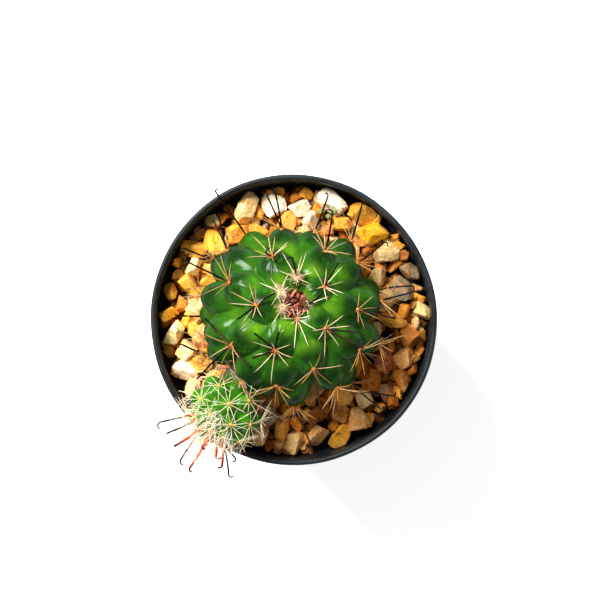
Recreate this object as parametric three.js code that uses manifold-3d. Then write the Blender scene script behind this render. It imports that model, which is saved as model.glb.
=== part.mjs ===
// A round cactus with one offset, growing in a thin nursery pot topped with gravel.
// Millimetres, +Z up. The origin is the centre of the pot's flat underside.

import * as THREE from 'three';
import { mergeVertices } from 'three/addons/utils/BufferGeometryUtils.js';
import Module from 'manifold-3d';

const wasm = await Module();
wasm.setup();

// ---------------------------------------------------------------- dimensions

const GAP = 0.3; // running clearance between neighbouring pieces

const POT = {
  height: 69,
  rimRadius: 40,
  footRadius: 28.5,
  shoulderRadius: 38,
  wall: 1.1,
  floor: 1.6,
  footRounding: 1.5,
  collarHeight: 12.5,
  collarFootRadius: 39.2,
  lipRadius: 0.75,
  sides: 48,
};
const DRAIN = { count: 6, radius: 3.2, circleRadius: 19, sides: 8 };

const MIX_TOP = 50;
const BED = { top: 59.5, stoneCeiling: 64.6 };
const STONES = {
  seed: 7,
  triesPerSize: 900,
  radii: [3.3, 2.8, 2.3],
  closeness: 0.8,
  innerReach: 18,
  edge: 1.42,
  jitter: 0.5,
  flatness: 0.85,
  lift: 0.3,
};
// Stones that stand out by size or colour: distance from the pot's axis, bearing in degrees, half-length.
const LANDMARK_STONES = [
  { reach: 34.4, bearing: 71, radius: 4.2 },
  { reach: 33.1, bearing: 47.5, radius: 3.9 },
  { reach: 35.6, bearing: 57.5, radius: 3.5 },
  { reach: 31.4, bearing: 36, radius: 4.0 },
  { reach: 31.4, bearing: 15.5, radius: 3.9 },
  { reach: 34.2, bearing: 112, radius: 4.0 },
  { reach: 36.2, bearing: 4, radius: 3.3 },
  { reach: 34.6, bearing: 331, radius: 3.2 },
  { reach: 33.6, bearing: 303, radius: 3.6 },
  { reach: 33.6, bearing: 187, radius: 3.5 },
];

const HEAD = {
  centre: new THREE.Vector3(-0.8, 2.2, 74),
  leanXDeg: 5.9,
  leanYDeg: 9.9,
  shell: { radius: 25.95, rise: 17.65, drop: 21.5 },
  core: { radius: 21.3, rise: 15.0, drop: 19.5 },
  knobs: 39,
  knobStepDeg: -64.42,
  knobStartDeg: 342.7,
  crownOffset: 0.77,
  crownKnobs: 30.56,
  crownPower: 1.56,
  knobHalfWidth: { crown: 3.2, full: 6.1, fullFrom: 7 },
  detail: 11,
  root: { radius: 5, bottom: 38 },
};
const HEAD_SPINES = {
  radials: 6,
  radialLength: 6.6,
  radialRise: 0.34,
  radialRoot: 0.3,
  centralLength: 10.5,
  centralRoot: 0.42,
  hookRadius: 1.3,
};

const PUP = {
  centre: new THREE.Vector3(-18.8, -24.8, 77),
  leanDeg: 49.6,
  leanTowardsDeg: 226.8,
  shell: { radius: 10.2, rise: 10.2, drop: 10.2 },
  core: { radius: 8.1, rise: 8.1, drop: 8.1 },
  knobs: 29,
  knobStepDeg: -137.5,
  knobStartDeg: 175.4,
  crownOffset: 1.29,
  crownKnobs: 21.9,
  crownPower: 1.5,
  knobHalfWidth: { crown: 2.2, full: 3.5, fullFrom: 6 },
  detail: 6,
  neck: { foot: new THREE.Vector3(-9, -9.5, 65), footRadius: 4.5, topRadius: 7 },
};
const PUP_SPINES = {
  radials: 6,
  radialLength: 4.6,
  radialRise: 0.38,
  radialRoot: 0.25,
  centralLength: 9.5,
  centralRoot: 0.36,
  hookRadius: 0.9,
  centralKnobs: 11,
};

const TUFT = { radius: 3.6, seat: 14.2, rise: 2.2, scales: 12, scaleLength: 2.6, scaleRoot: 0.55 };

const SEEDLINGS = [
  { reach: 33.8, bearing: 73, radius: 1.2 },
  { reach: 31.1, bearing: 76, radius: 1.1 },
  { reach: 32.2, bearing: 69.5, radius: 1.0 },
  { reach: 30.4, bearing: 71.5, radius: 0.9 },
];
const SEEDLING_STEM = { radius: 0.5, depth: 3 };

const HEADS_DIVIDE = 23.2; // distance from the head's centre to the plane where the two heads press
const SPINE_FLOOR = 65.3; // no spine dips below this height inside the pot
const UP = new THREE.Vector3(0, 0, 1);

// ----------------------------------------------------------------- materials

function finish(color, roughness) {
  return new THREE.MeshStandardMaterial({ color, roughness, metalness: 0 });
}

const FINISH = {
  blackPlastic: finish('#17191a', 0.55),
  mix: finish('#2c2119', 0.95),
  gravel: finish('#c79a55', 0.85),
  skin: finish('#2c7a2b', 0.35),
  youngSkin: finish('#4f9c33', 0.4),
  papery: finish('#a8655a', 0.8),
  seedling: finish('#8d9a4a', 0.6),
};

// ---------------------------------------------------------- solids and joins

function radians(degrees) {
  return THREE.MathUtils.degToRad(degrees);
}

// A repeatable stream of numbers from 0 to 1.
function randomStream(seed) {
  let state = seed;
  return () => {
    state = (Math.imul(state, 1664525) + 1013904223) >>> 0;
    return state / 4294967296;
  };
}

function weld(geometry) {
  const bare = geometry.clone();
  bare.deleteAttribute('normal');
  bare.deleteAttribute('uv');
  return mergeVertices(bare, 1e-4);
}

function solidOf(geometry) {
  const welded = weld(geometry);
  return new wasm.Manifold(new wasm.Mesh({
    numProp: 3,
    vertProperties: new Float32Array(welded.attributes.position.array),
    triVerts: new Uint32Array(welded.index.array),
  }));
}

function joinAll(solids) {
  return solids.reduce((whole, solid) => whole.add(solid));
}

// The largest connected piece of a solid, with any sealed hollow in it filled.
function mainPiece(solid) {
  const pieces = solid.decompose();
  return pieces.reduce((best, piece) => (piece.volume() > best.volume() ? piece : best));
}

function geometryOf(solid) {
  const mesh = mainPiece(solid).getMesh();
  const geometry = new THREE.BufferGeometry();
  geometry.setAttribute('position', new THREE.BufferAttribute(mesh.vertProperties, 3));
  geometry.setIndex(new THREE.BufferAttribute(mesh.triVerts, 1));
  geometry.computeVertexNormals();
  return geometry;
}

function piece(name, solid, material) {
  const mesh = new THREE.Mesh(geometryOf(solid), material);
  mesh.name = name;
  return mesh;
}

// A profile of [radius, height] pairs turned about the Z axis.
function turned(profile, sides) {
  const points = profile.map(([radius, height]) => new THREE.Vector2(radius, height));
  return solidOf(new THREE.LatheGeometry(points, sides).rotateX(Math.PI / 2));
}

// A round bar, or a cone, from one point to another.
function bar(from, to, fromRadius, toRadius, sides) {
  const along = to.clone().sub(from);
  const geometry = new THREE.CylinderGeometry(toRadius, fromRadius, along.length(), sides);
  geometry.translate(0, along.length() / 2, 0);
  const turn = new THREE.Quaternion().setFromUnitVectors(new THREE.Vector3(0, 1, 0), along.clone().normalize());
  geometry.applyQuaternion(turn);
  geometry.translate(from.x, from.y, from.z);
  return solidOf(geometry);
}

function atBearing(reach, bearing, height) {
  return new THREE.Vector3(
    reach * Math.cos(radians(bearing)),
    reach * Math.sin(radians(bearing)),
    height,
  );
}

// ----------------------------------------------------------------------- pot

const COLLAR_FOOT = POT.height - POT.collarHeight;
const COLLAR_TOP_RADIUS = POT.rimRadius - 2 * POT.lipRadius + POT.wall;

// Inner wall as [radius, height] pairs from the floor to the lip, moved in by a clearance.
function innerWall(clearance) {
  const inset = POT.wall + clearance;
  return [
    [POT.footRadius - inset, POT.floor + clearance],
    [POT.shoulderRadius - inset, COLLAR_FOOT - 0.8],
    [POT.collarFootRadius - inset, COLLAR_FOOT + POT.wall + clearance],
    [COLLAR_TOP_RADIUS - inset, POT.height - POT.lipRadius],
  ];
}

// Radius of the inner wall, moved in by a clearance, at a height.
function innerRadius(height, clearance) {
  const wall = innerWall(clearance);
  for (let i = 1; i < wall.length; i += 1) {
    const [lowRadius, low] = wall[i - 1];
    const [highRadius, high] = wall[i];
    if (height <= high) {
      return THREE.MathUtils.mapLinear(height, low, high, lowRadius, highRadius);
    }
  }
  return wall[wall.length - 1][0];
}

// Points of an arc of a profile, angles in degrees from the outward direction.
function profileArc(radius, height, arcRadius, fromDeg, toDeg, steps) {
  return Array.from({ length: steps + 1 }, (_, i) => {
    const angle = radians(THREE.MathUtils.lerp(fromDeg, toDeg, i / steps));
    return [radius + arcRadius * Math.cos(angle), height + arcRadius * Math.sin(angle)];
  });
}

function potSolid() {
  const { footRadius, footRounding, lipRadius, rimRadius } = POT;
  const shell = turned([
    [0, 0],
    ...profileArc(footRadius - footRounding, footRounding, footRounding, -90, 0, 3),
    [POT.shoulderRadius, COLLAR_FOOT - 0.8],
    [POT.collarFootRadius, COLLAR_FOOT],
    ...profileArc(rimRadius - lipRadius, POT.height - lipRadius, lipRadius, 0, 180, 5),
    ...innerWall(0).slice(0, 3).reverse(),
    [0, POT.floor],
  ], POT.sides);
  const drains = Array.from({ length: DRAIN.count }, (_, i) => {
    const foot = atBearing(DRAIN.circleRadius, (360 * i) / DRAIN.count, -1);
    const top = foot.clone().setZ(POT.floor + 1);
    return bar(foot, top, DRAIN.radius, DRAIN.radius, DRAIN.sides);
  });
  return shell.subtract(joinAll(drains));
}

// ---------------------------------------------------------------- plant heads

// Rotation that carries a head's own upright axis to its leaning one.
function headTurn(head) {
  if (head.leanTowardsDeg === undefined) {
    return new THREE.Quaternion().setFromEuler(
      new THREE.Euler(-radians(head.leanYDeg), radians(head.leanXDeg), 0, 'XYZ'),
    );
  }
  const towards = new THREE.Vector3(
    Math.sin(radians(head.leanDeg)) * Math.cos(radians(head.leanTowardsDeg)),
    Math.sin(radians(head.leanDeg)) * Math.sin(radians(head.leanTowardsDeg)),
    Math.cos(radians(head.leanDeg)),
  );
  return new THREE.Quaternion().setFromUnitVectors(UP, towards);
}

// Distance from the centre to a flattened globe's surface along a direction.
function globeRadius(globe, direction) {
  const flat = Math.hypot(direction.x, direction.y) / globe.radius;
  const tall = direction.z / (direction.z > 0 ? globe.rise : globe.drop);
  return 1 / Math.hypot(flat, tall);
}

// Directions of the knobs' tips. Each knob stands a fixed angle on from the last one,
// and the share of the globe above it grows as a power of its number.
function knobDirections(head) {
  return Array.from({ length: head.knobs }, (_, n) => {
    const share = ((n + head.crownOffset) / head.crownKnobs) ** head.crownPower;
    const polar = Math.acos(1 - share);
    const turn = radians(head.knobStartDeg + n * head.knobStepDeg);
    const tall = share < 1 ? head.shell.rise : head.shell.drop;
    return new THREE.Vector3(
      head.shell.radius * Math.sin(polar) * Math.cos(turn),
      head.shell.radius * Math.sin(polar) * Math.sin(turn),
      tall * Math.cos(polar),
    ).normalize();
  });
}

function knobHalfWidth(head, n) {
  const { crown, full, fullFrom } = head.knobHalfWidth;
  return THREE.MathUtils.lerp(crown, full, Math.min(1, n / fullFrom));
}

// Height of the knobs along a direction, from 0 in a valley to 1 at a tip. Each knob is a
// round dome, and where two meet the higher one wins with a soft crease between them.
function knobRelief(head, knobs, direction) {
  const reach = globeRadius(head.shell, direction);
  const total = knobs.reduce((sum, knob, n) => {
    const away = (reach * direction.angleTo(knob)) / knobHalfWidth(head, n);
    return sum + (away < 1 ? (1 - away * away) ** 4 : 0);
  }, 0);
  return Math.min(1, total ** 0.2);
}

// The plane where the two heads press on each other, facing from the main head to the offset.
const DIVIDE_NORMAL = PUP.centre.clone().sub(HEAD.centre).normalize();
const DIVIDE_PLACE = HEAD.centre.dot(DIVIDE_NORMAL) + HEADS_DIVIDE;

// How far a point lies on the given side of the dividing plane; side is 1 for the main head.
function clearOfDivide(point, side) {
  return side * (DIVIDE_PLACE - point.dot(DIVIDE_NORMAL));
}

// A globe with knobs raised from its surface, flattened where it meets the other head,
// and widened all over by a clearance.
function knobbedGlobe(head, side, clearance) {
  const knobs = knobDirections(head);
  const turn = headTurn(head);
  const room = clearOfDivide(head.centre, side) - GAP / 2 + clearance;
  const geometry = weld(new THREE.IcosahedronGeometry(1, head.detail));
  const place = geometry.attributes.position;
  const direction = new THREE.Vector3();
  for (let i = 0; i < place.count; i += 1) {
    direction.fromBufferAttribute(place, i).normalize();
    const inner = globeRadius(head.core, direction);
    const outer = globeRadius(head.shell, direction);
    const relief = knobRelief(head, knobs, direction);
    const reach = THREE.MathUtils.lerp(inner, outer, relief) + clearance;
    direction.applyQuaternion(turn);
    const facing = side * direction.dot(DIVIDE_NORMAL);
    direction.multiplyScalar(facing > 0 ? Math.min(reach, room / facing) : reach);
    direction.add(head.centre);
    place.setXYZ(i, direction.x, direction.y, direction.z);
  }
  return solidOf(geometry);
}

// --------------------------------------------------------------------- spines

// A three-sided spine that tapers to a point along a smooth path.
function spine(points, rootRadius, bends) {
  const curve = points.length > 2
    ? new THREE.CatmullRomCurve3(points, false, 'centripetal')
    : new THREE.LineCurve3(points[0], points[1]);
  const frames = curve.computeFrenetFrames(bends, false);
  const positions = [];
  for (let ring = 0; ring < bends; ring += 1) {
    const centre = curve.getPointAt(ring / bends);
    const radius = rootRadius * (1 - (0.75 * ring) / bends);
    for (let corner = 0; corner < 3; corner += 1) {
      const angle = (2 * Math.PI * corner) / 3;
      const corners = centre.clone()
        .addScaledVector(frames.normals[ring], radius * Math.cos(angle))
        .addScaledVector(frames.binormals[ring], radius * Math.sin(angle));
      positions.push(...corners.toArray());
    }
  }
  positions.push(...points[points.length - 1].toArray());
  const faces = [0, 2, 1];
  for (let ring = 0; ring < bends; ring += 1) {
    for (let corner = 0; corner < 3; corner += 1) {
      const low = 3 * ring + corner;
      const next = 3 * ring + ((corner + 1) % 3);
      if (ring === bends - 1) {
        faces.push(low, next, 3 * bends);
      } else {
        faces.push(low, next, next + 3, low, next + 3, low + 3);
      }
    }
  }
  const geometry = new THREE.BufferGeometry();
  geometry.setAttribute('position', new THREE.Float32BufferAttribute(positions, 3));
  geometry.setIndex(faces);
  return solidOf(geometry);
}

// Points of a straight spine, from a root sunk below the skin to its tip.
function straightPath(root, outward, along, length) {
  return [root.clone().addScaledVector(outward, -0.8), root.clone().addScaledVector(along, length)];
}

// Points of a spine that runs straight and then curls back in a hook.
function hookedPath(root, outward, along, length, hookRadius) {
  const side = outward.clone().addScaledVector(along, -outward.dot(along)).normalize();
  const bend = root.clone().addScaledVector(along, length).addScaledVector(side, hookRadius);
  const hook = [-90, -30, 30, 80].map((degrees) => bend.clone()
    .addScaledVector(along, hookRadius * Math.cos(radians(degrees)))
    .addScaledVector(side, hookRadius * Math.sin(radians(degrees))));
  return [root.clone().addScaledVector(outward, -0.8), ...hook];
}

// True if a spine stays on its own head's side, above the gravel and above the pot's lip.
function isClear(points, side) {
  const last = points[points.length - 1];
  const samples = points.concat([points[points.length - 2].clone().lerp(last, 0.5)]);
  return samples.every((point) => {
    const reach = Math.hypot(point.x, point.y);
    const floor = reach > COLLAR_TOP_RADIUS - 3 ? POT.height + 1 : SPINE_FLOOR;
    return point.z > floor && clearOfDivide(point, side) > 0.7;
  });
}

// True if a spine keeps out of the round seat of the tuft in the main head's crown.
function isClearOfTuft(points) {
  const back = headTurn(HEAD).invert();
  return points.slice(1).concat(points[0].clone().lerp(points[1], 0.5)).every((point) => {
    const local = point.clone().sub(HEAD.centre).applyQuaternion(back);
    return Math.hypot(local.x, local.y) > TUFT.radius + 1 || local.z < TUFT.seat - 2;
  });
}

// All spines of one head: a ring of straight ones and a longer hooked one on each knob.
function headSpines(head, spines, side, extraTest) {
  const turn = headTurn(head);
  const axis = UP.clone().applyQuaternion(turn);
  const solids = [];
  knobDirections(head).forEach((direction, n) => {
    const outward = direction.clone().applyQuaternion(turn);
    const tip = head.centre.clone().addScaledVector(outward, globeRadius(head.shell, direction) - 0.15);
    const down = axis.clone().negate().addScaledVector(outward, axis.dot(outward)).normalize();
    const across = outward.clone().cross(down);
    const growth = THREE.MathUtils.lerp(0.7, 1, Math.min(1, n / head.knobHalfWidth.fullFrom));
    for (let k = 0; k < spines.radials; k += 1) {
      const angle = (2 * Math.PI * (k + 0.5 * (n % 2))) / spines.radials;
      const along = outward.clone().multiplyScalar(spines.radialRise)
        .addScaledVector(down, Math.cos(angle))
        .addScaledVector(across, Math.sin(angle))
        .normalize();
      const path = straightPath(tip, outward, along, spines.radialLength * growth);
      if (isClear(path, side) && extraTest(path)) {
        solids.push(spine(path, spines.radialRoot, 1));
      }
    }
    if (n < (spines.centralKnobs ?? head.knobs)) {
      const sway = 0.5 * Math.sin(2.4 * n);
      const along = outward.clone().addScaledVector(down, 0.45).addScaledVector(across, sway).normalize();
      const path = hookedPath(tip, outward, along, spines.centralLength * growth, spines.hookRadius);
      if (isClear(path, side) && extraTest(path)) {
        solids.push(spine(path, spines.centralRoot, 6));
      }
    }
  });
  return solids;
}

// ---------------------------------------------------------------- main cactus

// A point given in the main head's own leaning frame, in the part's frame.
function headPoint(x, y, z) {
  return new THREE.Vector3(x, y, z).applyQuaternion(headTurn(HEAD)).add(HEAD.centre);
}

// The round seat of the crown's tuft, cut down from above, widened by a clearance.
function tuftSeat(clearance) {
  const low = headPoint(0, 0, TUFT.seat - clearance);
  const high = headPoint(0, 0, TUFT.seat + 9);
  return bar(low, high, TUFT.radius + clearance, TUFT.radius + clearance, 20);
}

// The root stub below the head, widened by a clearance.
function rootSolid(clearance) {
  const { radius, bottom } = HEAD.root;
  const low = new THREE.Vector3(HEAD.centre.x, HEAD.centre.y, bottom - clearance);
  const high = low.clone().setZ(HEAD.centre.z - 14);
  return bar(low, high, radius + clearance, radius + clearance, 20);
}

function cactusSolid() {
  const whole = joinAll([
    knobbedGlobe(HEAD, 1, 0),
    rootSolid(0),
    ...headSpines(HEAD, HEAD_SPINES, 1, isClearOfTuft),
  ]);
  return whole.subtract(tuftSeat(GAP));
}

// A low dome of papery remains with small pointed scales standing out of it.
function tuftSolid() {
  const { radius, seat, rise, scales } = TUFT;
  const random = randomStream(3);
  const dome = new THREE.SphereGeometry(radius, 14, 6);
  dome.rotateX(Math.PI / 2).scale(1, 1, rise / radius);
  const lump = solidOf(dome);
  const base = turned([[0, -rise], [radius + 1, -rise], [radius + 1, 0], [0, 0]], 14);
  const foot = turned([[0, 0], [radius * 0.97, 0], [radius * 0.97, 0.6], [0, 0.9]], 14);
  const spikes = Array.from({ length: scales }, (_, n) => {
    const bearing = 137.5 * n;
    const away = (radius - 1) * Math.sqrt((n + 0.5) / scales);
    const root = atBearing(away, bearing, 0.5);
    const tip = atBearing(away + 0.5 * random(), bearing, rise + TUFT.scaleLength * (0.5 + 0.5 * random()));
    return spine([root, tip], TUFT.scaleRoot, 1);
  });
  const solid = joinAll([lump.subtract(base), foot, ...spikes]);
  const frame = new THREE.Matrix4().compose(headPoint(0, 0, seat), headTurn(HEAD), new THREE.Vector3(1, 1, 1));
  return solid.transform(frame.elements);
}

// --------------------------------------------------------------------- offset

// The short neck between the offset and the main head, widened by a clearance.
function neckSolid(clearance) {
  const { foot, footRadius, topRadius } = PUP.neck;
  return bar(foot, PUP.centre, footRadius + clearance, topRadius + clearance, 14);
}

// The offset grows out of the main head's flank, so its neck ends there.
function pupSolid() {
  const body = knobbedGlobe(PUP, -1, 0).add(neckSolid(0)).subtract(knobbedGlobe(HEAD, 1, GAP));
  return joinAll([body, ...headSpines(PUP, PUP_SPINES, -1, () => true)]);
}

// ------------------------------------------------------- potting mix and gravel

function mixSolid() {
  const wall = innerWall(GAP);
  const body = turned([
    [0, wall[0][1]],
    wall[0],
    [innerRadius(MIX_TOP, GAP), MIX_TOP],
    [0, MIX_TOP],
  ], POT.sides);
  return body.subtract(rootSolid(GAP));
}

// The room inside the pot above the potting mix, up to a height.
function potRoom(top) {
  const wall = innerWall(GAP);
  const floor = MIX_TOP + GAP;
  return turned([
    [0, floor],
    [innerRadius(floor, GAP), floor],
    wall[1],
    wall[2],
    [innerRadius(top, GAP), top],
    [0, top],
  ], POT.sides);
}

// Places for the stones: the landmark ones first, then ever smaller ones wherever they fit.
function stonePlaces() {
  const random = randomStream(STONES.seed);
  const limit = innerRadius(BED.stoneCeiling, GAP);
  const places = LANDMARK_STONES.map(({ reach, bearing, radius }) => {
    const { x, y } = atBearing(reach, bearing, 0);
    return { x, y, radius };
  });
  STONES.radii.forEach((radius) => {
    for (let attempt = 0; attempt < STONES.triesPerSize; attempt += 1) {
      const x = (2 * random() - 1) * limit;
      const y = (2 * random() - 1) * limit;
      const inPot = Math.hypot(x, y) + 0.9 * radius < limit;
      const offHead = Math.hypot(x - HEAD.centre.x, y - HEAD.centre.y) > STONES.innerReach;
      const apart = places.every((other) => (
        Math.hypot(x - other.x, y - other.y) > STONES.closeness * (radius + other.radius)
      ));
      if (inPot && offHead && apart) {
        places.push({ x, y, radius });
      }
    }
  });
  return places;
}

// An angular stone: a block with its eight corners moved about, turned and flattened.
function stoneSolid({ x, y, radius }, random) {
  const geometry = weld(new THREE.BoxGeometry(STONES.edge, STONES.edge, STONES.edge));
  const corners = geometry.attributes.position;
  for (let i = 0; i < corners.count; i += 1) {
    const moved = corners.array.slice(3 * i, 3 * i + 3).map((place) => place + STONES.jitter * (random() - 0.5));
    corners.setXYZ(i, ...moved);
  }
  geometry.rotateX(Math.PI * random());
  geometry.rotateY(Math.PI * random());
  geometry.scale(radius, radius * (0.75 + 0.25 * random()), radius * STONES.flatness);
  geometry.rotateZ(2 * Math.PI * random());
  geometry.computeBoundingBox();
  const rise = geometry.boundingBox.max.z;
  geometry.translate(x, y, Math.min(BED.top + STONES.lift * rise, BED.stoneCeiling - rise));
  return solidOf(geometry);
}

function seedlingBall({ reach, bearing, radius }, clearance) {
  const centre = atBearing(reach, bearing, BED.stoneCeiling - radius);
  const ball = new THREE.IcosahedronGeometry(radius + clearance, 0);
  ball.translate(centre.x, centre.y, centre.z);
  const foot = centre.clone().setZ(BED.top - SEEDLING_STEM.depth - clearance);
  const stemRadius = SEEDLING_STEM.radius + clearance;
  return joinAll([solidOf(ball), bar(foot, centre, stemRadius, stemRadius, 6)]);
}

function gravelSolid() {
  const random = randomStream(STONES.seed + 1);
  const stones = stonePlaces().map((place) => stoneSolid(place, random));
  const holes = joinAll([
    knobbedGlobe(HEAD, 1, GAP),
    knobbedGlobe(PUP, -1, GAP),
    neckSolid(GAP),
    rootSolid(GAP),
    ...SEEDLINGS.map((seedling) => seedlingBall(seedling, GAP)),
  ]);
  return joinAll([potRoom(BED.top), ...stones]).intersect(potRoom(POT.height)).subtract(holes);
}

// ---------------------------------------------------------------- the assembly

const plant = new THREE.Group();
plant.add(piece('pot', potSolid(), FINISH.blackPlastic));
plant.add(piece('potting_mix', mixSolid(), FINISH.mix));
plant.add(piece('gravel', gravelSolid(), FINISH.gravel));
plant.add(piece('cactus', cactusSolid(), FINISH.skin));
plant.add(piece('crown_tuft', tuftSolid(), FINISH.papery));
plant.add(piece('pup', pupSolid(), FINISH.youngSkin));
SEEDLINGS.forEach((seedling, i) => {
  plant.add(piece(`seedling_${i + 1}`, seedlingBall(seedling, 0), FINISH.seedling));
});

export default plant;
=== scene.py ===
"""A round cactus with one offset, growing in a thin nursery pot topped with gravel.

Metres, +Z up. The origin is the centre of the pot's flat underside.
"""

import math

import bpy
import numpy as np
from bpy.props import FloatProperty, FloatVectorProperty, IntProperty, PointerProperty
from bpy.types import Operator, Panel, PropertyGroup
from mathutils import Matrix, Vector


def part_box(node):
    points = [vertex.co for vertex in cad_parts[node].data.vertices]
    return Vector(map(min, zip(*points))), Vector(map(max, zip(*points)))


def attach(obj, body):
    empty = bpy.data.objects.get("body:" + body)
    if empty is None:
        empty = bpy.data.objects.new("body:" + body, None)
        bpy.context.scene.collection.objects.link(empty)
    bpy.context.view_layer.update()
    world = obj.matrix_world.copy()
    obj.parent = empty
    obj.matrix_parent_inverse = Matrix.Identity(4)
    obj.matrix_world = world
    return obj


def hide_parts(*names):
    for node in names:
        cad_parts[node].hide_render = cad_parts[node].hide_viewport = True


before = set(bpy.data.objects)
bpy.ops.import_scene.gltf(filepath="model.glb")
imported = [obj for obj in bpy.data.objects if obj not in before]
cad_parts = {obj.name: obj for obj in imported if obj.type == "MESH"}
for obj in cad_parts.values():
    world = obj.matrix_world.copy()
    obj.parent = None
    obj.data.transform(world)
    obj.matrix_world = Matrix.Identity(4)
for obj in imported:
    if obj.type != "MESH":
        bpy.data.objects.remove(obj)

bl_info = {
    "name": "Potted Round Cactus",
    "version": (1, 0, 0),
    "blender": (4, 5, 0),
    "location": "3D View > Sidebar > Cactus",
    "description": "Builds a round cactus in a gravel-topped pot, piece by piece",
    "category": "Add Mesh",
}

MM = 0.001
WHITE = (1.0, 1.0, 1.0, 1.0)
UPRIGHT = np.array([0, 0, 1.0])
BODY = "root"
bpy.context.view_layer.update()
POT_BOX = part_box("pot")
MIX_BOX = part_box("potting_mix")
SEEDLINGS = ("seedling_1", "seedling_2", "seedling_3", "seedling_4")

# Rings and sides of the closed shapes.
HEAD_GRID, OFFSET_GRID = (230, 380), (130, 220)
TOP_GRID, WEDGED_GRID, LOWER_GRID = (17, 26), (9, 14), (5, 8)
FELT_GRID, OFFSET_FELT_GRID, SEEDLING_GRID = (6, 12), (5, 10), (26, 40)
WALL_SIDES, BED_SIDES, DRAIN_SIDES, DOME_SIDES = 240, 160, 32, 40

# Seeds of the random draws of each kind of piece; the gravel's is one of its settings.
FELT_SEED, SPINE_SEED, CROWN_SEED, OFFSET_SEED, REMAINS_SEED = 21, 31, 41, 51, 61


# ------------------------------------------------------------ kinds of property

def size(name, millimetres, description):
    """A length, given in millimetres and kept in metres."""
    return FloatProperty(name=name, description=description, default=millimetres * MM,
                         unit="LENGTH", precision=5)


def place(name, millimetres, description):
    """A point, given in millimetres and kept in metres."""
    return FloatVectorProperty(name=name, description=description, size=3, unit="LENGTH",
                               default=[each * MM for each in millimetres], subtype="TRANSLATION")


def angle(name, degrees, description):
    """An angle, given in degrees and kept in radians."""
    return FloatProperty(name=name, description=description, default=math.radians(degrees),
                         subtype="ANGLE")


def factor(name, default, description):
    """A plain number."""
    return FloatProperty(name=name, description=description, default=default)


def count(name, default, description):
    """A whole number, at least one."""
    return IntProperty(name=name, description=description, default=default, min=1)


def linear(shade):
    """A colour written as six hexadecimal digits, as the linear light that shaders take."""
    steps = np.array([int(shade[i:i + 2], 16) for i in (0, 2, 4)]) / 255
    light = np.where(steps <= 0.04045, steps / 12.92, ((steps + 0.055) / 1.055) ** 2.4)
    return [*light.tolist(), 1.0]


def colour(name, shade, description):
    """A colour, written as six hexadecimal digits."""
    return FloatVectorProperty(name=name, description=description, size=4, subtype="COLOR",
                               default=linear(shade), min=0, max=1)


# ------------------------------------------------------------- sizes and colours

class PotSettings(PropertyGroup):
    """Sizes and colours of the nursery pot and the potting mix."""
    height: size("Height", POT_BOX[1].z / MM, "Height of the pot")
    rim_radius: size("Rim radius", POT_BOX[1].x / MM, "Outer radius of the lip")
    foot_radius: size("Foot radius", 28.5, "Outer radius at the foot")
    foot_rounding: size("Foot rounding", 1.5, "Radius of the rounded foot edge")
    shoulder_radius: size("Shoulder radius", 38, "Outer radius just below the collar")
    collar_height: size("Collar height", 12.5, "Height of the wider collar under the lip")
    collar_foot_radius: size("Collar foot radius", 39.2, "Outer radius at the collar's foot")
    lip_radius: size("Lip radius", 0.75, "Radius of the rounded lip")
    wall: size("Wall", 1.1, "Thickness of the wall")
    floor: size("Floor", 1.6, "Thickness of the floor")
    drains: count("Drains", 6, "Number of drainage holes")
    drain_radius: size("Drain radius", 3.2, "Radius of a drainage hole")
    drain_circle: size("Drain circle", 19, "Radius of the circle that the drains lie on")
    oval: size("Oval", 0.35, "How far the thin lip is pulled to an oval")
    oval_bearing: angle("Oval bearing", 100, "Bearing of the oval's long side")
    waviness: size("Waviness", 0.08, "Height of the lip's smaller waves")
    plastic: colour("Plastic", "14181a", "The pot's black plastic")
    scuffs: colour("Scuffs", "282e31", "Scuffed and dusty plastic")
    mix: colour("Potting mix", "2c2119", "The potting mix")


class GravelSettings(PropertyGroup):
    """Sizes and colours of the gravel."""
    seed: count("Seed", 7, "Seed of the stones' places")
    bed_top: size("Bed top", 59.5, "Height of the gravel's bed")
    ceiling: size("Ceiling", 64.6, "Height that no stone passes")
    margin: size("Margin", 0.3, "Clearance between the stones and the pot's wall")
    head_reach: size("Reach under the head", 18, "How near to the head's axis the stones come")
    chips: count("Chips", 110, "Number of smaller stones wedged between the others")
    infill: count("Infill stones", 420, "Number of small stones lying deeper")
    ochre: colour("Ochre", "eba838", "The commonest stones")
    amber: colour("Amber", "d98218", "Deeper orange stones")
    tan: colour("Tan", "dfa566", "Pale brown stones")
    cream: colour("Cream", "f5d292", "Cream stones")
    white: colour("White", "f0e4ca", "White stones")
    yellow: colour("Yellow", "f0ae1c", "Bright yellow stones")
    brown: colour("Brown", "b4681c", "Brown stones")
    russet: colour("Russet", "a84c26", "Red-brown stones")
    grey: colour("Grey", "8c7f68", "Porous grey stones")
    dust: colour("Dust", "3a2410", "Dust in the stones' hollows")
    # The bed is near black: partly the dark crumbs, partly a painted shade filling the gaps between the
    # stones.
    bed: colour("Bed", "150e08", "Dark crumbs under the stones")


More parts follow.
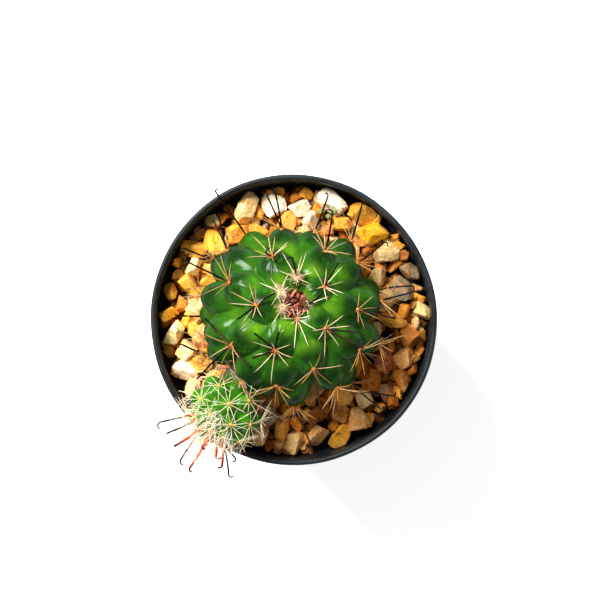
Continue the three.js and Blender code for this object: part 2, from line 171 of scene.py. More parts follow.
class HeadSettings(PropertyGroup):
    """Sizes and colours of the main head and its spines."""
    centre: place("Centre", (-0.8, 2.2, 74), "Centre of the head")
    lean_x: angle("Lean along X", 5.9, "Lean of the head's axis along X")
    lean_y: angle("Lean along Y", 9.9, "Lean of the head's axis along Y")
    shell_radius: size("Tip radius", 25.95, "Radius over the knobs' tips")
    shell_rise: size("Tip rise", 17.65, "Height of the tips' globe above its centre")
    shell_drop: size("Tip drop", 21.5, "Depth of the tips' globe below its centre")
    core_radius: size("Valley radius", 20.4, "Radius at the bottom of the valleys")
    core_rise: size("Valley rise", 15.5, "Height of the valleys' globe above its centre")
    core_drop: size("Valley drop", 18.4, "Depth of the valleys' globe below its centre")
    crown_dip: size("Crown dip", 3.0, "Depth of the dip in the crown")
    crown_spread: angle("Crown spread", 15, "How far from the axis the dip in the crown reaches")
    wrinkles: size("Wrinkles", 0.35, "Height of the fine wrinkles on the knobs' sides")
    knobs: count("Knobs", 39, "Number of knobs")
    knob_step: angle("Knob step", -64.42, "Turn from one knob to the next")
    knob_start: angle("Knob start", 342.7, "Bearing of the youngest knob")
    crown_offset: factor("Crown offset", 0.77, "Where the spiral of knobs begins")
    crown_knobs: factor("Crown knobs", 30.56, "Knobs above the head's widest part")
    crown_power: factor("Crown power", 1.56, "How fast the knobs spread from the crown")
    young_width: size("Young knob", 2.6, "Half the width of the youngest knob")
    full_width: size("Full knob", 6.7, "Half the width of a full-grown knob")
    full_from: count("Full from", 7, "Number of the first full-grown knob")
    slope: factor("Slope", 1.4, "Length of a knob's slope towards the crown, in half-widths")
    front: factor("Front", 0.92, "Length of a knob's steep front, in half-widths")
    lead: factor("Lead", 0.12, "How far a knob's top lies behind its felt, in half-widths")
    radial_length: size("Radial length", 8.7, "Length of the spines in a ring")
    radial_width: size("Radial width", 0.122, "Radius of a radial spine at its root")
    central_width: size("Central width", 0.27, "Radius of a central spine at its root")
    bright_knobs: count("Bright knobs", 15, "Knobs, counted from the crown, with fully bright slopes")
    # The skin colour also paints the shade in the creases between the knobs.
    skin: colour("Skin", "0f2c0a", "Deep skin on top of the knobs and in the creases")
    # Bright slope colour: partly the paler young skin, partly painted light where the slopes face up to the
    # lamp.
    axil_and_painted_shading: colour("Axil", "649e18", "Bright skin on the knobs' slopes towards the crown")
    flank: colour("Flank", "265a0f", "Skin on the knobs' flanks")
    spine_root: colour("Spine root", "bc7c38", "Older radial spine at its root")
    spine_middle: colour("Spine middle", "c99c5c", "Older radial spine along its middle")
    spine_tip: colour("Spine tip", "5c321c", "Older radial spine at its tip")
    young_root: colour("Young spine root", "ead09a", "Young radial spine at its root")
    young_middle: colour("Young spine middle", "f2e6ca", "Young radial spine along its middle")
    young_tip: colour("Young spine tip", "8a4426", "Young radial spine at its tip")
    dark_root: colour("Dark spine root", "4a2418", "Central spine at its root")
    dark_spine: colour("Dark spine", "0e0a0a", "Central spine along its length")
    brown_root: colour("Brown spine root", "a86f3e", "Paler central spine at its root")
    brown_spine: colour("Brown spine", "3e2218", "Paler central spine along its length")
    young_felt: colour("Young felt", "dcc498", "Wool of the youngest felt cushions")
    old_felt: colour("Old felt", "c07020", "Felt of the older cushions")


class OffsetSettings(PropertyGroup):
    """Sizes and colours of the offset and its spines."""
    centre: place("Centre", (-18.8, -24.8, 77), "Centre of the offset")
    lean: angle("Lean", 49.6, "Lean of the offset from upright")
    lean_towards: angle("Lean towards", 226.8, "Bearing that the offset leans towards")
    shell_radius: size("Tip radius", 10.2, "Radius over the knobs' tips")
    shell_rise: size("Tip rise", 10.2, "Height of the tips' globe above its centre")
    shell_drop: size("Tip drop", 10.2, "Depth of the tips' globe below its centre")
    core_radius: size("Valley radius", 8.4, "Radius at the bottom of the valleys")
    core_rise: size("Valley rise", 8.4, "Height of the valleys' globe above its centre")
    core_drop: size("Valley drop", 8.4, "Depth of the valleys' globe below its centre")
    knobs: count("Knobs", 29, "Number of knobs")
    knob_step: angle("Knob step", -137.5, "Turn from one knob to the next")
    knob_start: angle("Knob start", 175.4, "Bearing of the youngest knob")
    crown_offset: factor("Crown offset", 1.29, "Where the spiral of knobs begins")
    crown_knobs: factor("Crown knobs", 21.9, "Knobs above the head's widest part")
    crown_power: factor("Crown power", 1.5, "How fast the knobs spread from the crown")
    crown_dip: size("Crown dip", 0, "Depth of the dip in the crown")
    crown_spread: angle("Crown spread", 14, "How far from the axis the dip in the crown reaches")
    wrinkles: size("Wrinkles", 0.1, "Height of the fine wrinkles on the knobs' sides")
    young_width: size("Young knob", 2.2, "Half the width of the youngest knob")
    full_width: size("Full knob", 3.3, "Half the width of a full-grown knob")
    full_from: count("Full from", 6, "Number of the first full-grown knob")
    slope: factor("Slope", 1.15, "Length of a knob's slope towards the crown, in half-widths")
    front: factor("Front", 0.85, "Length of a knob's steep front, in half-widths")
    lead: factor("Lead", 0.05, "How far a knob's top lies behind its felt, in half-widths")
    neck_foot: place("Neck foot", (-9, -9.5, 65), "Where the neck leaves the main head")
    neck_foot_radius: size("Neck foot radius", 4.5, "Radius of the neck at its foot")
    neck_top_radius: size("Neck top radius", 7, "Radius of the neck in the offset")
    radial_length: size("Radial length", 6.9, "Length of the spines in a ring")
    radial_width: size("Radial width", 0.07, "Radius of a radial spine at its root")
    central_width: size("Central width", 0.42, "Radius of a hooked spine at its root")
    bright_knobs: count("Bright knobs", 29, "Knobs, counted from the crown, with fully bright slopes")
    wisps: count("Wisps", 260, "Number of fine pale spines in the crown's brush")
    # The lighter tops are painted light.
    skin: colour("Skin", "428416", "Skin on top of the knobs")
    # Dark slope colour: a painted shade in the offset's valleys.
    axil_and_painted_shading: colour("Axil", "124606", "Deep green skin on the knobs' slopes towards the crown")
    flank: colour("Flank", "23600a", "Skin on the knobs' flanks")
    spine_root: colour("Spine root", "f7eab4", "Radial spine at its root")
    spine_middle: colour("Spine middle", "f4ecd0", "Radial spine along its middle")
    spine_tip: colour("Spine tip", "e8cfa4", "Radial spine at its tip")
    wisp_root: colour("Wisp root", "fffaf0", "Fine spine of the crown's brush at its root")
    wisp_middle: colour("Wisp middle", "fff4ee", "Fine spine of the crown's brush along its middle")
    wisp_tip: colour("Wisp tip", "eeb29c", "Fine spine of the crown's brush at its tip")
    hook_root: colour("Hook root", "f08848", "Coloured hooked spine at its root")
    hook_middle: colour("Hook middle", "de5a22", "Coloured hooked spine along its middle")
    hook_tip: colour("Hook tip", "3a1a14", "Coloured hooked spine at its tip")
    dark_hook: colour("Dark hook", "1d1716", "Dark hooked spine")
    felt: colour("Felt", "e2921c", "Felt cushions")


class CrownSettings(PropertyGroup):
    """Sizes and colours of the small things: papery remains, dry fibres and seedlings."""
    radius: size("Patch radius", 4.2, "Radius of the patch of papery remains")
    seat: size("Patch seat", 15.1, "Height of the patch along the head's axis")
    scales: count("Scales", 110, "Number of papery scales")
    scale_length: size("Scale length", 4.2, "Length of a papery scale")
    scale_width: size("Scale width", 0.33, "Half the width of a papery scale")
    papery: colour("Papery", "e29678", "Papery remains")
    # The dark papery colour is partly the scales' own darker colour and partly painted shade deep in the
    # patch.
    papery_dark: colour("Papery dark", "541c12", "Papery remains, deep in the patch")
    tangle: place("Tangle", (-6.8, -26.9, 66.5), "Centre of the bleached tangle")
    tangle_radius: size("Tangle radius", 2.0, "Radius of the bleached tangle")
    curls: count("Curls", 110, "Number of curls in the bleached tangle")
    fibre: colour("Fibre", "6a4a38", "Dry fibres between the heads")
    fibre_pale: colour("Pale fibre", "cabca8", "Bleached fibres")
    seedling: colour("Seedling", "6f7a30", "Seedlings among the stones")
    seedling_top: colour("Seedling top", "8b8c55", "Pale top of a seedling")


class StageSettings(PropertyGroup):
    """The floor, the light and the camera."""
    camera: place("Camera", (3.43, 3.84, 669), "Place of the camera, which looks straight down")
    lens: factor("Focal length", 127.6, "Focal length of the camera in millimetres")
    key_power: factor("Key light", 25.0, "Power of the large soft light")
    key_place: place("Key light place", (-430, 470, 800), "Place of the large soft light")
    key_size: size("Key light size", 360, "Side of the large soft light")
    surround: factor("Surround", 0.5, "Strength of the white surround at the sides")
    overhead: factor("Overhead", 0.35, "Strength of the surround straight above")
    glow: factor("Floor glow", 0.64, "Light that the pale floor gives by itself")
    floor: colour("Floor", "f0f0f0", "The pale floor")


# -------------------------------------------------------------- shapes by arrays

def unit(vectors):
    """Vectors scaled to length one along their last axis."""
    return vectors / np.linalg.norm(vectors, axis=-1, keepdims=True)


def ringed_faces(items, rings, sides):
    """Faces of closed shapes that each have a first pole, rings of points and a last pole.

    Neighbouring rings are joined by quads, and each end ring by a fan to its pole.
    """
    points_each = rings * sides + 2
    side = np.arange(sides)
    beside = (side + 1) % sides
    low = 1 + sides * np.arange(rings - 1)[:, None]
    quads = np.stack([low + side, low + beside, low + sides + beside, low + sides + side], -1)
    end = 1 + sides * (rings - 1)
    first_fan = np.stack([0 * side, 1 + beside, 1 + side], -1)
    last_fan = np.stack([end + side, end + beside, 0 * side + points_each - 1], -1)
    start = points_each * np.arange(items)[:, None, None]
    fans = np.concatenate([first_fan, last_fan])
    return (start + quads.reshape(-1, 4)).reshape(-1, 4), (start + fans).reshape(-1, 3)


def ringed_part(first, rings, last, **marks):
    """A part made of closed ringed shapes.

    first and last are (items, 3) poles and rings is (items, rings, sides, 3). A mark is a value
    or a vector for each item, for each station from pole to pole, or for each point.
    """
    items, ring_count, sides = rings.shape[:3]
    points = np.concatenate([first[:, None], rings.reshape(items, -1, 3), last[:, None]], 1)
    quads, fans = ringed_faces(items, ring_count, sides)
    station = np.concatenate([[0], np.repeat(np.arange(1, ring_count + 1), sides), [ring_count + 1]])
    spread = {}
    for name, mark in marks.items():
        mark = np.asarray(mark, float)
        if mark.shape[:1] == (items,) and mark.ndim == 1:
            mark = np.repeat(mark[:, None], points.shape[1], 1)
        elif mark.shape == (ring_count + 2,):
            mark = np.repeat(mark[None, station], items, 0)
        elif mark.shape == (items, ring_count + 2):
            mark = mark[:, station]
        elif mark.shape in ((items, 3), (items, 4)):
            mark = np.repeat(mark[:, None], points.shape[1], 1)
        spread[name] = mark.reshape(items * points.shape[1], -1)
    return {"points": points.reshape(-1, 3), "quads": quads, "fans": fans, "marks": spread}


def joined(*parts):
    """Several parts as one part; every part carries the same marks."""
    starts = np.cumsum([0, *[len(part["points"]) for part in parts[:-1]]])
    return {
        "points": np.concatenate([part["points"] for part in parts]),
        "quads": np.concatenate([part["quads"] + start for part, start in zip(parts, starts)]),
        "fans": np.concatenate([part["fans"] + start for part, start in zip(parts, starts)]),
        "marks": {name: np.concatenate([part["marks"][name] for part in parts])
                  for name in parts[0]["marks"]},
    }


def mesh_of(name, part):
    """A mesh of a part's points and faces."""
    mesh = bpy.data.meshes.new(name)
    mesh.from_pydata(part["points"].tolist(), [], part["quads"].tolist() + part["fans"].tolist())
    return mesh


def make_piece(name, part, material, slot, *nodes, smooth=True):
    """Puts a part into the scene as one mesh that rides on the body."""
    mesh = mesh_of(name, part)
    mesh.polygons.foreach_set("use_smooth", np.full(len(mesh.polygons), smooth))
    kinds = {1: ("FLOAT", "value"), 3: ("FLOAT_VECTOR", "vector"), 4: ("FLOAT_COLOR", "color")}
    for mark, values in part["marks"].items():
        kind, field = kinds[values.shape[1]]
        attribute = mesh.attributes.new(mark, kind, "POINT")
        attribute.data.foreach_set(field, values.astype(np.float32).ravel())
    mesh.materials.append(material)
    piece = bpy.data.objects.new(name, mesh)
    bpy.context.scene.collection.objects.link(piece)
    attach(piece, BODY)
    if nodes:
        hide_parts(*nodes)
    return piece


def sphere_rings(rings, sides):
    """Unit directions over a globe as (rings, sides, 3), from the lower pole to the upper one.

    A ring at polar angle p holds (sin p cos t, sin p sin t, cos p) for t all the way round.
    """
    polar = np.pi * (1 - np.arange(1, rings + 1) / (rings + 1))[:, None]
    turn = 2 * np.pi * np.arange(sides) / sides
    return np.stack([np.sin(polar) * np.cos(turn), np.sin(polar) * np.sin(turn),
                     np.cos(polar) + 0 * turn], -1)


def ball(rings, sides):
    """Directions over a globe as one list: the lower pole, the rings and the upper pole."""
    return np.concatenate([[-UPRIGHT], sphere_rings(rings, sides).reshape(-1, 3), [UPRIGHT]])


def ball_part(points, rings, sides, **marks):
    """A part of closed shapes, the points of each in the order of ball."""
    return ringed_part(points[:, 0], points[:, 1:-1].reshape(-1, rings, sides, 3), points[:, -1], **marks)


def ripple(points, wavelength, seed, waves=9):
    """Smooth unevenness from -1 to 1: the mean of sines along random directions."""
    random = np.random.default_rng(seed)
    directions = unit(random.normal(size=(waves, 3)))
    pitch = wavelength * random.uniform(0.7, 1.6, waves)
    phase = random.uniform(0, 2 * np.pi, waves)
    return np.sin(points @ directions.T * (2 * np.pi / pitch) + phase).sum(-1) / math.sqrt(waves * 2)


def tubes(paths, sideways, radii, sides, **marks):
    """Tapering closed tubes along paths.

    A ring at a station is centre + r (cos a n + sin a b), with n and b square to the path and b
    as near to the sideways vector as it can be. The first and last stations are the poles. The
    mark along is the share of the path's length before a station.
    """
    items, stations = paths.shape[:2]
    along = unit(np.gradient(paths, axis=1))
    normal = unit(np.cross(unit(sideways)[:, None], along))
    beside = np.cross(along, normal)
    turn = 2 * np.pi * np.arange(sides) / sides
    spoke = np.cos(turn)[:, None] * normal[:, :, None] + np.sin(turn)[:, None] * beside[:, :, None]
    rings = paths[:, :, None] + np.broadcast_to(radii, (items, stations))[:, :, None, None] * spoke
    length = np.cumsum(np.linalg.norm(np.diff(paths, axis=1, prepend=paths[:, :1]), axis=-1), 1)
    marks["along"] = length / length[:, -1:]
    return ringed_part(paths[:, 0], rings[:, 1:-1], paths[:, -1], **marks)


def flatten_tubes(part, paths, keep, sides):
    """Flattens each ring of a part of tubes across its first spoke, to a share of its width."""
    items, stations = paths.shape[:2]
    points = part["points"].reshape(items, -1, 3)
    rings = points[:, 1:-1].reshape(items, stations - 2, sides, 3)
    centre = paths[:, 1:-1, None]
    thin = unit(rings[:, :, :1] - centre)
    depth = ((rings - centre) * thin).sum(-1, keepdims=True)
    rings = rings - (1 - keep) * depth * thin
    points = np.concatenate([points[:, :1], rings.reshape(items, -1, 3), points[:, -1:]], 1)
    return {**part, "points": points.reshape(-1, 3)}


def turned(profile, sides, **marks):
    """A closed solid turned about the Z axis from (radius, height) pairs between two poles."""
    radius, height = np.array(profile[1:-1]).T
    turn = 2 * np.pi * np.arange(sides) / sides
    rings = np.stack([radius[:, None] * np.cos(turn), radius[:, None] * np.sin(turn),
                      height[:, None] + 0 * turn], -1)[None]
    poles = np.array([[0, 0, profile[0][1]], [0, 0, profile[-1][1]]])
    return ringed_part(poles[:1], rings, poles[1:], **marks)


def arc(radius, height, arc_radius, start, end, steps):
    """Points of an arc of a profile, angles in degrees from the outward direction."""
    swing = np.radians(np.linspace(start, end, steps + 1))
    return [(radius + arc_radius * math.cos(a), height + arc_radius * math.sin(a)) for a in swing]


def run(start, end, steps):
    """Evenly spaced points of a straight stretch of a profile, without its last point."""
    start, end = np.array(start), np.array(end)
    return [tuple(start + (end - start) * i / steps) for i in range(steps)]


# ------------------------------------------------------------------- materials

def put(tree, kind, links=None, **settings):
    """Adds a node with its own settings, and feeds its inputs from sockets or plain values."""
    made = tree.nodes.new(kind)
    for name, value in settings.items():
        setattr(made, name, value)
    for socket, source in (links or {}).items():
        if isinstance(source, bpy.types.NodeSocket):
            tree.links.new(source, made.inputs[socket])
        else:
            made.inputs[socket].default_value = source
    return made


# Where a colour mix has its share, its two colours and its result among its sockets.
MIX_SHARE, MIX_FIRST, MIX_SECOND, MIX_RESULT = 0, 6, 7, 2


def blend(tree, share, first, second, mode="MIX"):
    """The colour socket of a mix of two colours."""
    made = put(tree, "ShaderNodeMix", data_type="RGBA", blend_type=mode, links={
        MIX_SHARE: share, MIX_FIRST: first, MIX_SECOND: second})
    return made.outputs[MIX_RESULT]


def reach_of(tree, value, low, high, to_low=0.0, to_high=1.0):
    """The socket of a value carried smoothly from one range to another."""
    made = put(tree, "ShaderNodeMapRange", interpolation_type="SMOOTHSTEP", links={
        "Value": value, "From Min": low, "From Max": high, "To Min": to_low, "To Max": to_high})
    return made.outputs["Result"]


def new_group(name, inputs, outputs):
    """An empty shader group with its sockets, and its input and output nodes."""
    group = bpy.data.node_groups.new(name, "ShaderNodeTree")
    for direction, sockets in (("INPUT", inputs), ("OUTPUT", outputs)):
        for socket, kind in sockets.items():
            group.interface.new_socket(socket, in_out=direction, socket_type="NodeSocket" + kind)
    return group, group.nodes.new("NodeGroupInput").outputs, group.nodes.new("NodeGroupOutput").inputs


def mottle_group():
    """Mottling: a noise pattern that mixes two colours, with its height for a bump."""
    group, given, out = new_group(
        "mottling",
        {"Vector": "Vector", "Scale": "Float", "Low": "Float", "High": "Float",
         "Colour": "Color", "Other": "Color"},
        {"Colour": "Color", "Height": "Float"})
    noise = put(group, "ShaderNodeTexNoise", links={
        "Vector": given["Vector"], "Scale": given["Scale"], "Detail": 5.0, "Roughness": 0.6})
    share = reach_of(group, noise.outputs["Fac"], given["Low"], given["High"])
    group.links.new(blend(group, share, given["Colour"], given["Other"]), out["Colour"])
    group.links.new(noise.outputs["Fac"], out["Height"])
    return group


def length_group():
    """Colour along a spine: from its root to its middle, and then to its tip."""
    group, given, out = new_group(
        "colour_along",
        {"Along": "Float", "Root": "Color", "Middle": "Color", "Tip": "Color",
         "Middle at": "Float", "Tip from": "Float"},
        {"Colour": "Color"})
    first = reach_of(group, given["Along"], 0.0, given["Middle at"])
    second = reach_of(group, given["Along"], given["Tip from"], 1.0)
    warm = blend(group, first, given["Root"], given["Middle"])
    group.links.new(blend(group, second, warm, given["Tip"]), out["Colour"])
    return group


def group_node(tree, name, maker, links):
    """Places a shared group in a material, making it the first time."""
    return put(tree, "ShaderNodeGroup", links, node_tree=bpy.data.node_groups.get(name) or maker())


def mottled(tree, vector, scale, low, high, first, second):
    """The mottling group's output sockets."""
    return group_node(tree, "mottling", mottle_group, {
        "Vector": vector, "Scale": scale, "Low": low, "High": high,
        "Colour": first, "Other": second}).outputs


def mark(tree, name, output="Fac"):
    """The socket of one of the piece's own attributes."""
    return put(tree, "ShaderNodeAttribute", attribute_name=name).outputs[output]


def object_place(tree):
    """The socket of object coordinates."""
    return put(tree, "ShaderNodeTexCoord").outputs["Object"]


def new_material(name, **sockets):
    """A material with a Principled shader; sockets are set by their names."""
    material = bpy.data.materials.new(name)
    material.use_nodes = True
    tree = material.node_tree
    shader = tree.nodes["Principled BSDF"]
    for socket, value in sockets.items():
        shader.inputs[socket.replace("_", " ")].default_value = value
    return material, tree, shader


def link_bump(tree, shader, height, strength, distance):
    """Feeds a height to the shader's normal through a bump."""
    bump = put(tree, "ShaderNodeBump", links={
        "Height": height, "Strength": strength, "Distance": distance})
    tree.links.new(bump.outputs["Normal"], shader.inputs["Normal"])


def crumbly_material(name, first, second, scale, low, high, strength, depth, **sockets):
    """A material of two mottled colours, whose mottling also raises the surface."""
    material, tree, shader = new_material(name, **sockets)
    crumbs = mottled(tree, object_place(tree), scale, low, high, first, second)
    tree.links.new(crumbs["Colour"], shader.inputs["Base Color"])
    link_bump(tree, shader, crumbs["Height"], strength, depth)
    return material


def plastic_material(pot):
    """Matt black plastic, dulled by scuffs and dust."""
    material, tree, shader = new_material("black_plastic", Specular_IOR_Level=0.15)
    where = object_place(tree)
    cloud = mottled(tree, where, 90.0, 0.3, 0.8, pot.plastic, pot.scuffs)
    grain = mottled(tree, where, 2600.0, 0.3, 0.8, pot.plastic, pot.scuffs)
    tree.links.new(cloud["Colour"], shader.inputs["Base Color"])
    tree.links.new(reach_of(tree, cloud["Height"], 0.3, 0.7, 0.38, 0.6), shader.inputs["Roughness"])
    link_bump(tree, shader, grain["Height"], 0.15, 0.06 * MM)
    return material


def mix_material(pot):
    """Dark crumbly potting mix."""
    return crumbly_material(
        "potting_mix", pot.mix, pot.plastic, scale=420.0, low=0.35, high=0.7, strength=0.9,
        depth=0.8 * MM, Roughness=0.95)


def stone_material(gravel):
    """Stone of the mark stone_colour, with veins, pits and dust that keep to each stone."""
    material, tree, shader = new_material("stone", Roughness=0.7, Specular_IOR_Level=0.18)
    where = mark(tree, "stone_place", "Vector")
    own = mark(tree, "stone_colour", "Color")
    patch = mottled(tree, where, 280.0, 0.54, 0.7, own, gravel.cream)
    stain = mottled(tree, where, 430.0, 0.52, 0.66, own, gravel.amber)
    grain = mottled(tree, where, 1300.0, 0.35, 0.65, (0.78, 0.66, 0.48, 1), (1.22, 1.22, 1.22, 1))
    base = blend(tree, 0.5, patch["Colour"], stain["Colour"])
    base = blend(tree, 0.75, base, grain["Colour"], "MULTIPLY")
    pits = reach_of(tree, patch["Height"], 0.3, 0.42, 0.7, 0.0)
    base = blend(tree, pits, base, gravel.dust)
    tree.links.new(base, shader.inputs["Base Color"])
    tree.links.new(reach_of(tree, stain["Height"], 0.3, 0.7, 0.42, 0.8), shader.inputs["Roughness"])
    height = put(tree, "ShaderNodeMath", operation="ADD", links={
        0: grain["Height"], 1: stain["Height"]}).outputs[0]
    link_bump(tree, shader, height, 0.6, 0.34 * MM)
    return material


def skin_material(name, head):
    """Glossy living skin, coloured by the marks relief and slope.

    The knobs' tops are deep green on the main head. On the offset they are painted lighter, which is painted
    light. Their slopes towards the crown are bright on the main head: partly the paler young skin, partly
    painted light where they face up to the lamp. On the offset the slopes are darker, which is painted shade.
    The creases between the knobs get a painted shade in the colour of the tops.
    """
    material, tree, shader = new_material(
        name, Specular_IOR_Level=0.03, Specular_Tint=(0.75, 1.0, 0.55, 1), Subsurface_Weight=0.05,
        Subsurface_Radius=(0.5, 1.0, 0.1), Subsurface_Scale=1.2 * MM, Coat_Weight=0.14, Coat_Roughness=0.13)
    relief = mark(tree, "relief")
    where = object_place(tree)
    # Tops against flanks by relief; on the offset the lighter tops are painted light.
    high = reach_of(tree, relief, 0.35, 0.9)
    # Slopes towards the crown: on the main head partly paler skin and partly painted light; on the offset a
    # painted shade.
    bright = reach_of(tree, mark(tree, "slope"), 0.2, 0.85)
    base = blend(tree, bright, blend(tree, high, head.flank, head.skin), head.axil_and_painted_shading)
    # The creases between the knobs are pulled towards the colour of the tops: a painted shade on the main
    # head.
    crease = reach_of(tree, relief, 0.35, 0.7)
    base = blend(tree, crease, blend(tree, 0.45, base, head.skin), base)
    cloud = mottled(tree, where, 190.0, 0.4, 0.72, base, head.flank)
    fleck = mottled(tree, where, 420.0, 0.45, 0.75, (0.86, 0.86, 0.86, 1), (1.25, 1.25, 0.9, 1))
    tree.links.new(blend(tree, 1.0, cloud["Colour"], fleck["Colour"], "MULTIPLY"),
                   shader.inputs["Base Color"])
    tree.links.new(reach_of(tree, cloud["Height"], 0.3, 0.7, 0.3, 0.45), shader.inputs["Roughness"])
    link_bump(tree, shader, fleck["Height"], 0.5, 0.5 * MM)
    return material


def spine_material(name, young, old, middle_at, tip_from, roughness=0.45, glow=0.0):
    """Horny spine, coloured from root to tip by the mark along.

    young and old are (root, middle, tip) colours, which the mark age mixes; the mark tone makes
    one spine darker than the next. The glow is painted light: the spine gives off its own colour by
    itself, standing in for light that comes through it from behind.
    """
    material, tree, shader = new_material(
        name, Roughness=roughness, Specular_IOR_Level=0.05, Emission_Strength=glow)
    palettes = [
        group_node(tree, "colour_along", length_group, {
            "Along": mark(tree, "along"), "Root": root, "Middle": middle, "Tip": tip,
            "Middle at": middle_at, "Tip from": tip_from}).outputs["Colour"]
        for root, middle, tip in (young, old)]
    along = blend(tree, mark(tree, "age"), *palettes)
    shade = blend(tree, mark(tree, "tone"), (0.5, 0.38, 0.24, 1), WHITE)
    bands = mottled(tree, object_place(tree), 900.0, 0.4, 0.8, WHITE, (0.82, 0.7, 0.5, 1))
    base = blend(tree, 1.0, blend(tree, 1.0, along, shade, "MULTIPLY"), bands["Colour"], "MULTIPLY")
    tree.links.new(base, shader.inputs["Base Color"])
    # Painted light: the spine's colour glows by itself.
    tree.links.new(base, shader.inputs["Emission Color"])
    link_bump(tree, shader, bands["Height"], 0.2, 0.05 * MM)
    return material


def felt_material(name, young, old):
    """Woolly felt, whose mark age carries it from the young colour to the old one."""
    material, tree, shader = new_material(name, Roughness=0.95, Sheen_Weight=0.1)
    base = blend(tree, mark(tree, "age"), young, old)
    fuzz = mottled(tree, object_place(tree), 2200.0, 0.5, 0.85, base, young)
    tree.links.new(fuzz["Colour"], shader.inputs["Base Color"])
    link_bump(tree, shader, fuzz["Height"], 0.7, 0.25 * MM)
    return material


# ------------------------------------------------------------------------- pot

COLLAR_STEP = 0.8 * MM  # the wall runs out to the collar over this height
DRAIN_OVERSHOOT = 2 * MM  # how far the drains' cutter reaches past the floor


def inner_wall(pot, clearance):
    """Inner wall as (radius, height) pairs from the floor to the lip, moved in by a clearance."""
    inset = pot.wall + clearance
    collar_foot = pot.height - pot.collar_height
    top_radius = pot.rim_radius - 2 * pot.lip_radius + pot.wall
    return [
        (pot.foot_radius - inset, pot.floor + clearance),
        (pot.shoulder_radius - inset, collar_foot - COLLAR_STEP),
        (pot.collar_foot_radius - inset, collar_foot + pot.wall + clearance),
        (top_radius - inset, pot.height - pot.lip_radius),
    ]


def inner_radius(pot, height, clearance):
    """Radius of the inner wall at a height, moved in by a clearance."""
    radii, heights = zip(*inner_wall(pot, clearance))
    return np.interp(height, heights, radii)


def pot_part(pot):
    """The pot's profile turned about Z; the thin lip strays a little from a true circle."""
    collar_foot = pot.height - pot.collar_height
    wall = inner_wall(pot, 0)
    lip = arc(pot.rim_radius - pot.lip_radius, pot.height - pot.lip_radius, pot.lip_radius, 0, 180, 12)
    foot = arc(pot.foot_radius - pot.foot_rounding, pot.foot_rounding, pot.foot_rounding, -90, 0, 6)
    shoulder = (pot.shoulder_radius, collar_foot - COLLAR_STEP)
    collar = (pot.collar_foot_radius, collar_foot)
    profile = [
        (0, 0),
        *run((pot.foot_radius * 0.2, 0), foot[0], 12),
        *run(foot[-1], shoulder, 24),
        *run(shoulder, collar, 3),
        *run(collar, lip[0], 10),
        *lip,
        *run(wall[3], wall[2], 10)[1:],
        *run(wall[2], wall[1], 3),
        *run(wall[1], wall[0], 24),
        *run(wall[0], (wall[0][0] * 0.2, pot.floor), 12),
        (0, pot.floor),
    ]
    part = turned(profile, WALL_SIDES)
    points = part["points"]
    bearing = np.arctan2(points[:, 1], points[:, 0])
    near_lip = np.clip((points[:, 2] - collar_foot) / pot.collar_height, 0, 1)
    waves = np.sin(3 * bearing + 2.0) + 0.6 * np.sin(7 * bearing) + 0.4 * np.sin(13 * bearing)
    stray = pot.oval * np.cos(2 * (bearing - pot.oval_bearing)) + pot.waviness * waves
    points[:, :2] *= (1 + near_lip * stray / pot.rim_radius)[:, None]
    points[:, 2] += near_lip * 0.12 * MM * np.sin(4 * bearing + 1.3)
    return part


def cut_drains(piece, pot):
    """Cuts the round drainage holes out of the pot's floor, and applies the cut."""
    low, high = -DRAIN_OVERSHOOT, pot.floor + DRAIN_OVERSHOOT
    drains = []
    for i in range(pot.drains):
        bearing = 2 * math.pi * i / pot.drains
        drain = turned([(0, low), (pot.drain_radius, low), (pot.drain_radius, high), (0, high)],
                       DRAIN_SIDES)
        drain["points"] += pot.drain_circle * np.array([math.cos(bearing), math.sin(bearing), 0])
        drains.append(drain)
    cutter = bpy.data.objects.new("drain_cutter", mesh_of("drain_cutter", joined(*drains)))
    bpy.context.scene.collection.objects.link(cutter)
    cut = piece.modifiers.new("drains", "BOOLEAN")
    cut.operation = "DIFFERENCE"
    cut.solver = "EXACT"
    cut.object = cutter
    depsgraph = bpy.context.evaluated_depsgraph_get()
    finished = bpy.data.meshes.new_from_object(piece.evaluated_get(depsgraph))
    piece.modifiers.clear()
    piece.data = finished
    bpy.data.meshes.remove(cutter.data)


# ----------------------------------------------------------------------- heads

def lean_turn(lean_x, lean_y):
    """Rotation about Y by lean_x, and then about X by minus lean_y."""
    cx, sx = math.cos(-lean_y), math.sin(-lean_y)
    cy, sy = math.cos(lean_x), math.sin(lean_x)
    about_x = np.array([[1, 0, 0], [0, cx, -sx], [0, sx, cx]])
    about_y = np.array([[cy, 0, sy], [0, 1, 0], [-sy, 0, cy]])
    return about_x @ about_y


def tilt_turn(lean, towards):
    """The shortest rotation that tips the Z axis by an angle towards a bearing."""
    axis = np.array([-math.sin(towards), math.cos(towards), 0])
    cross = np.array([[0, -axis[2], axis[1]], [axis[2], 0, -axis[0]], [-axis[1], axis[0], 0]])
    return np.eye(3) + math.sin(lean) * cross + (1 - math.cos(lean)) * cross @ cross


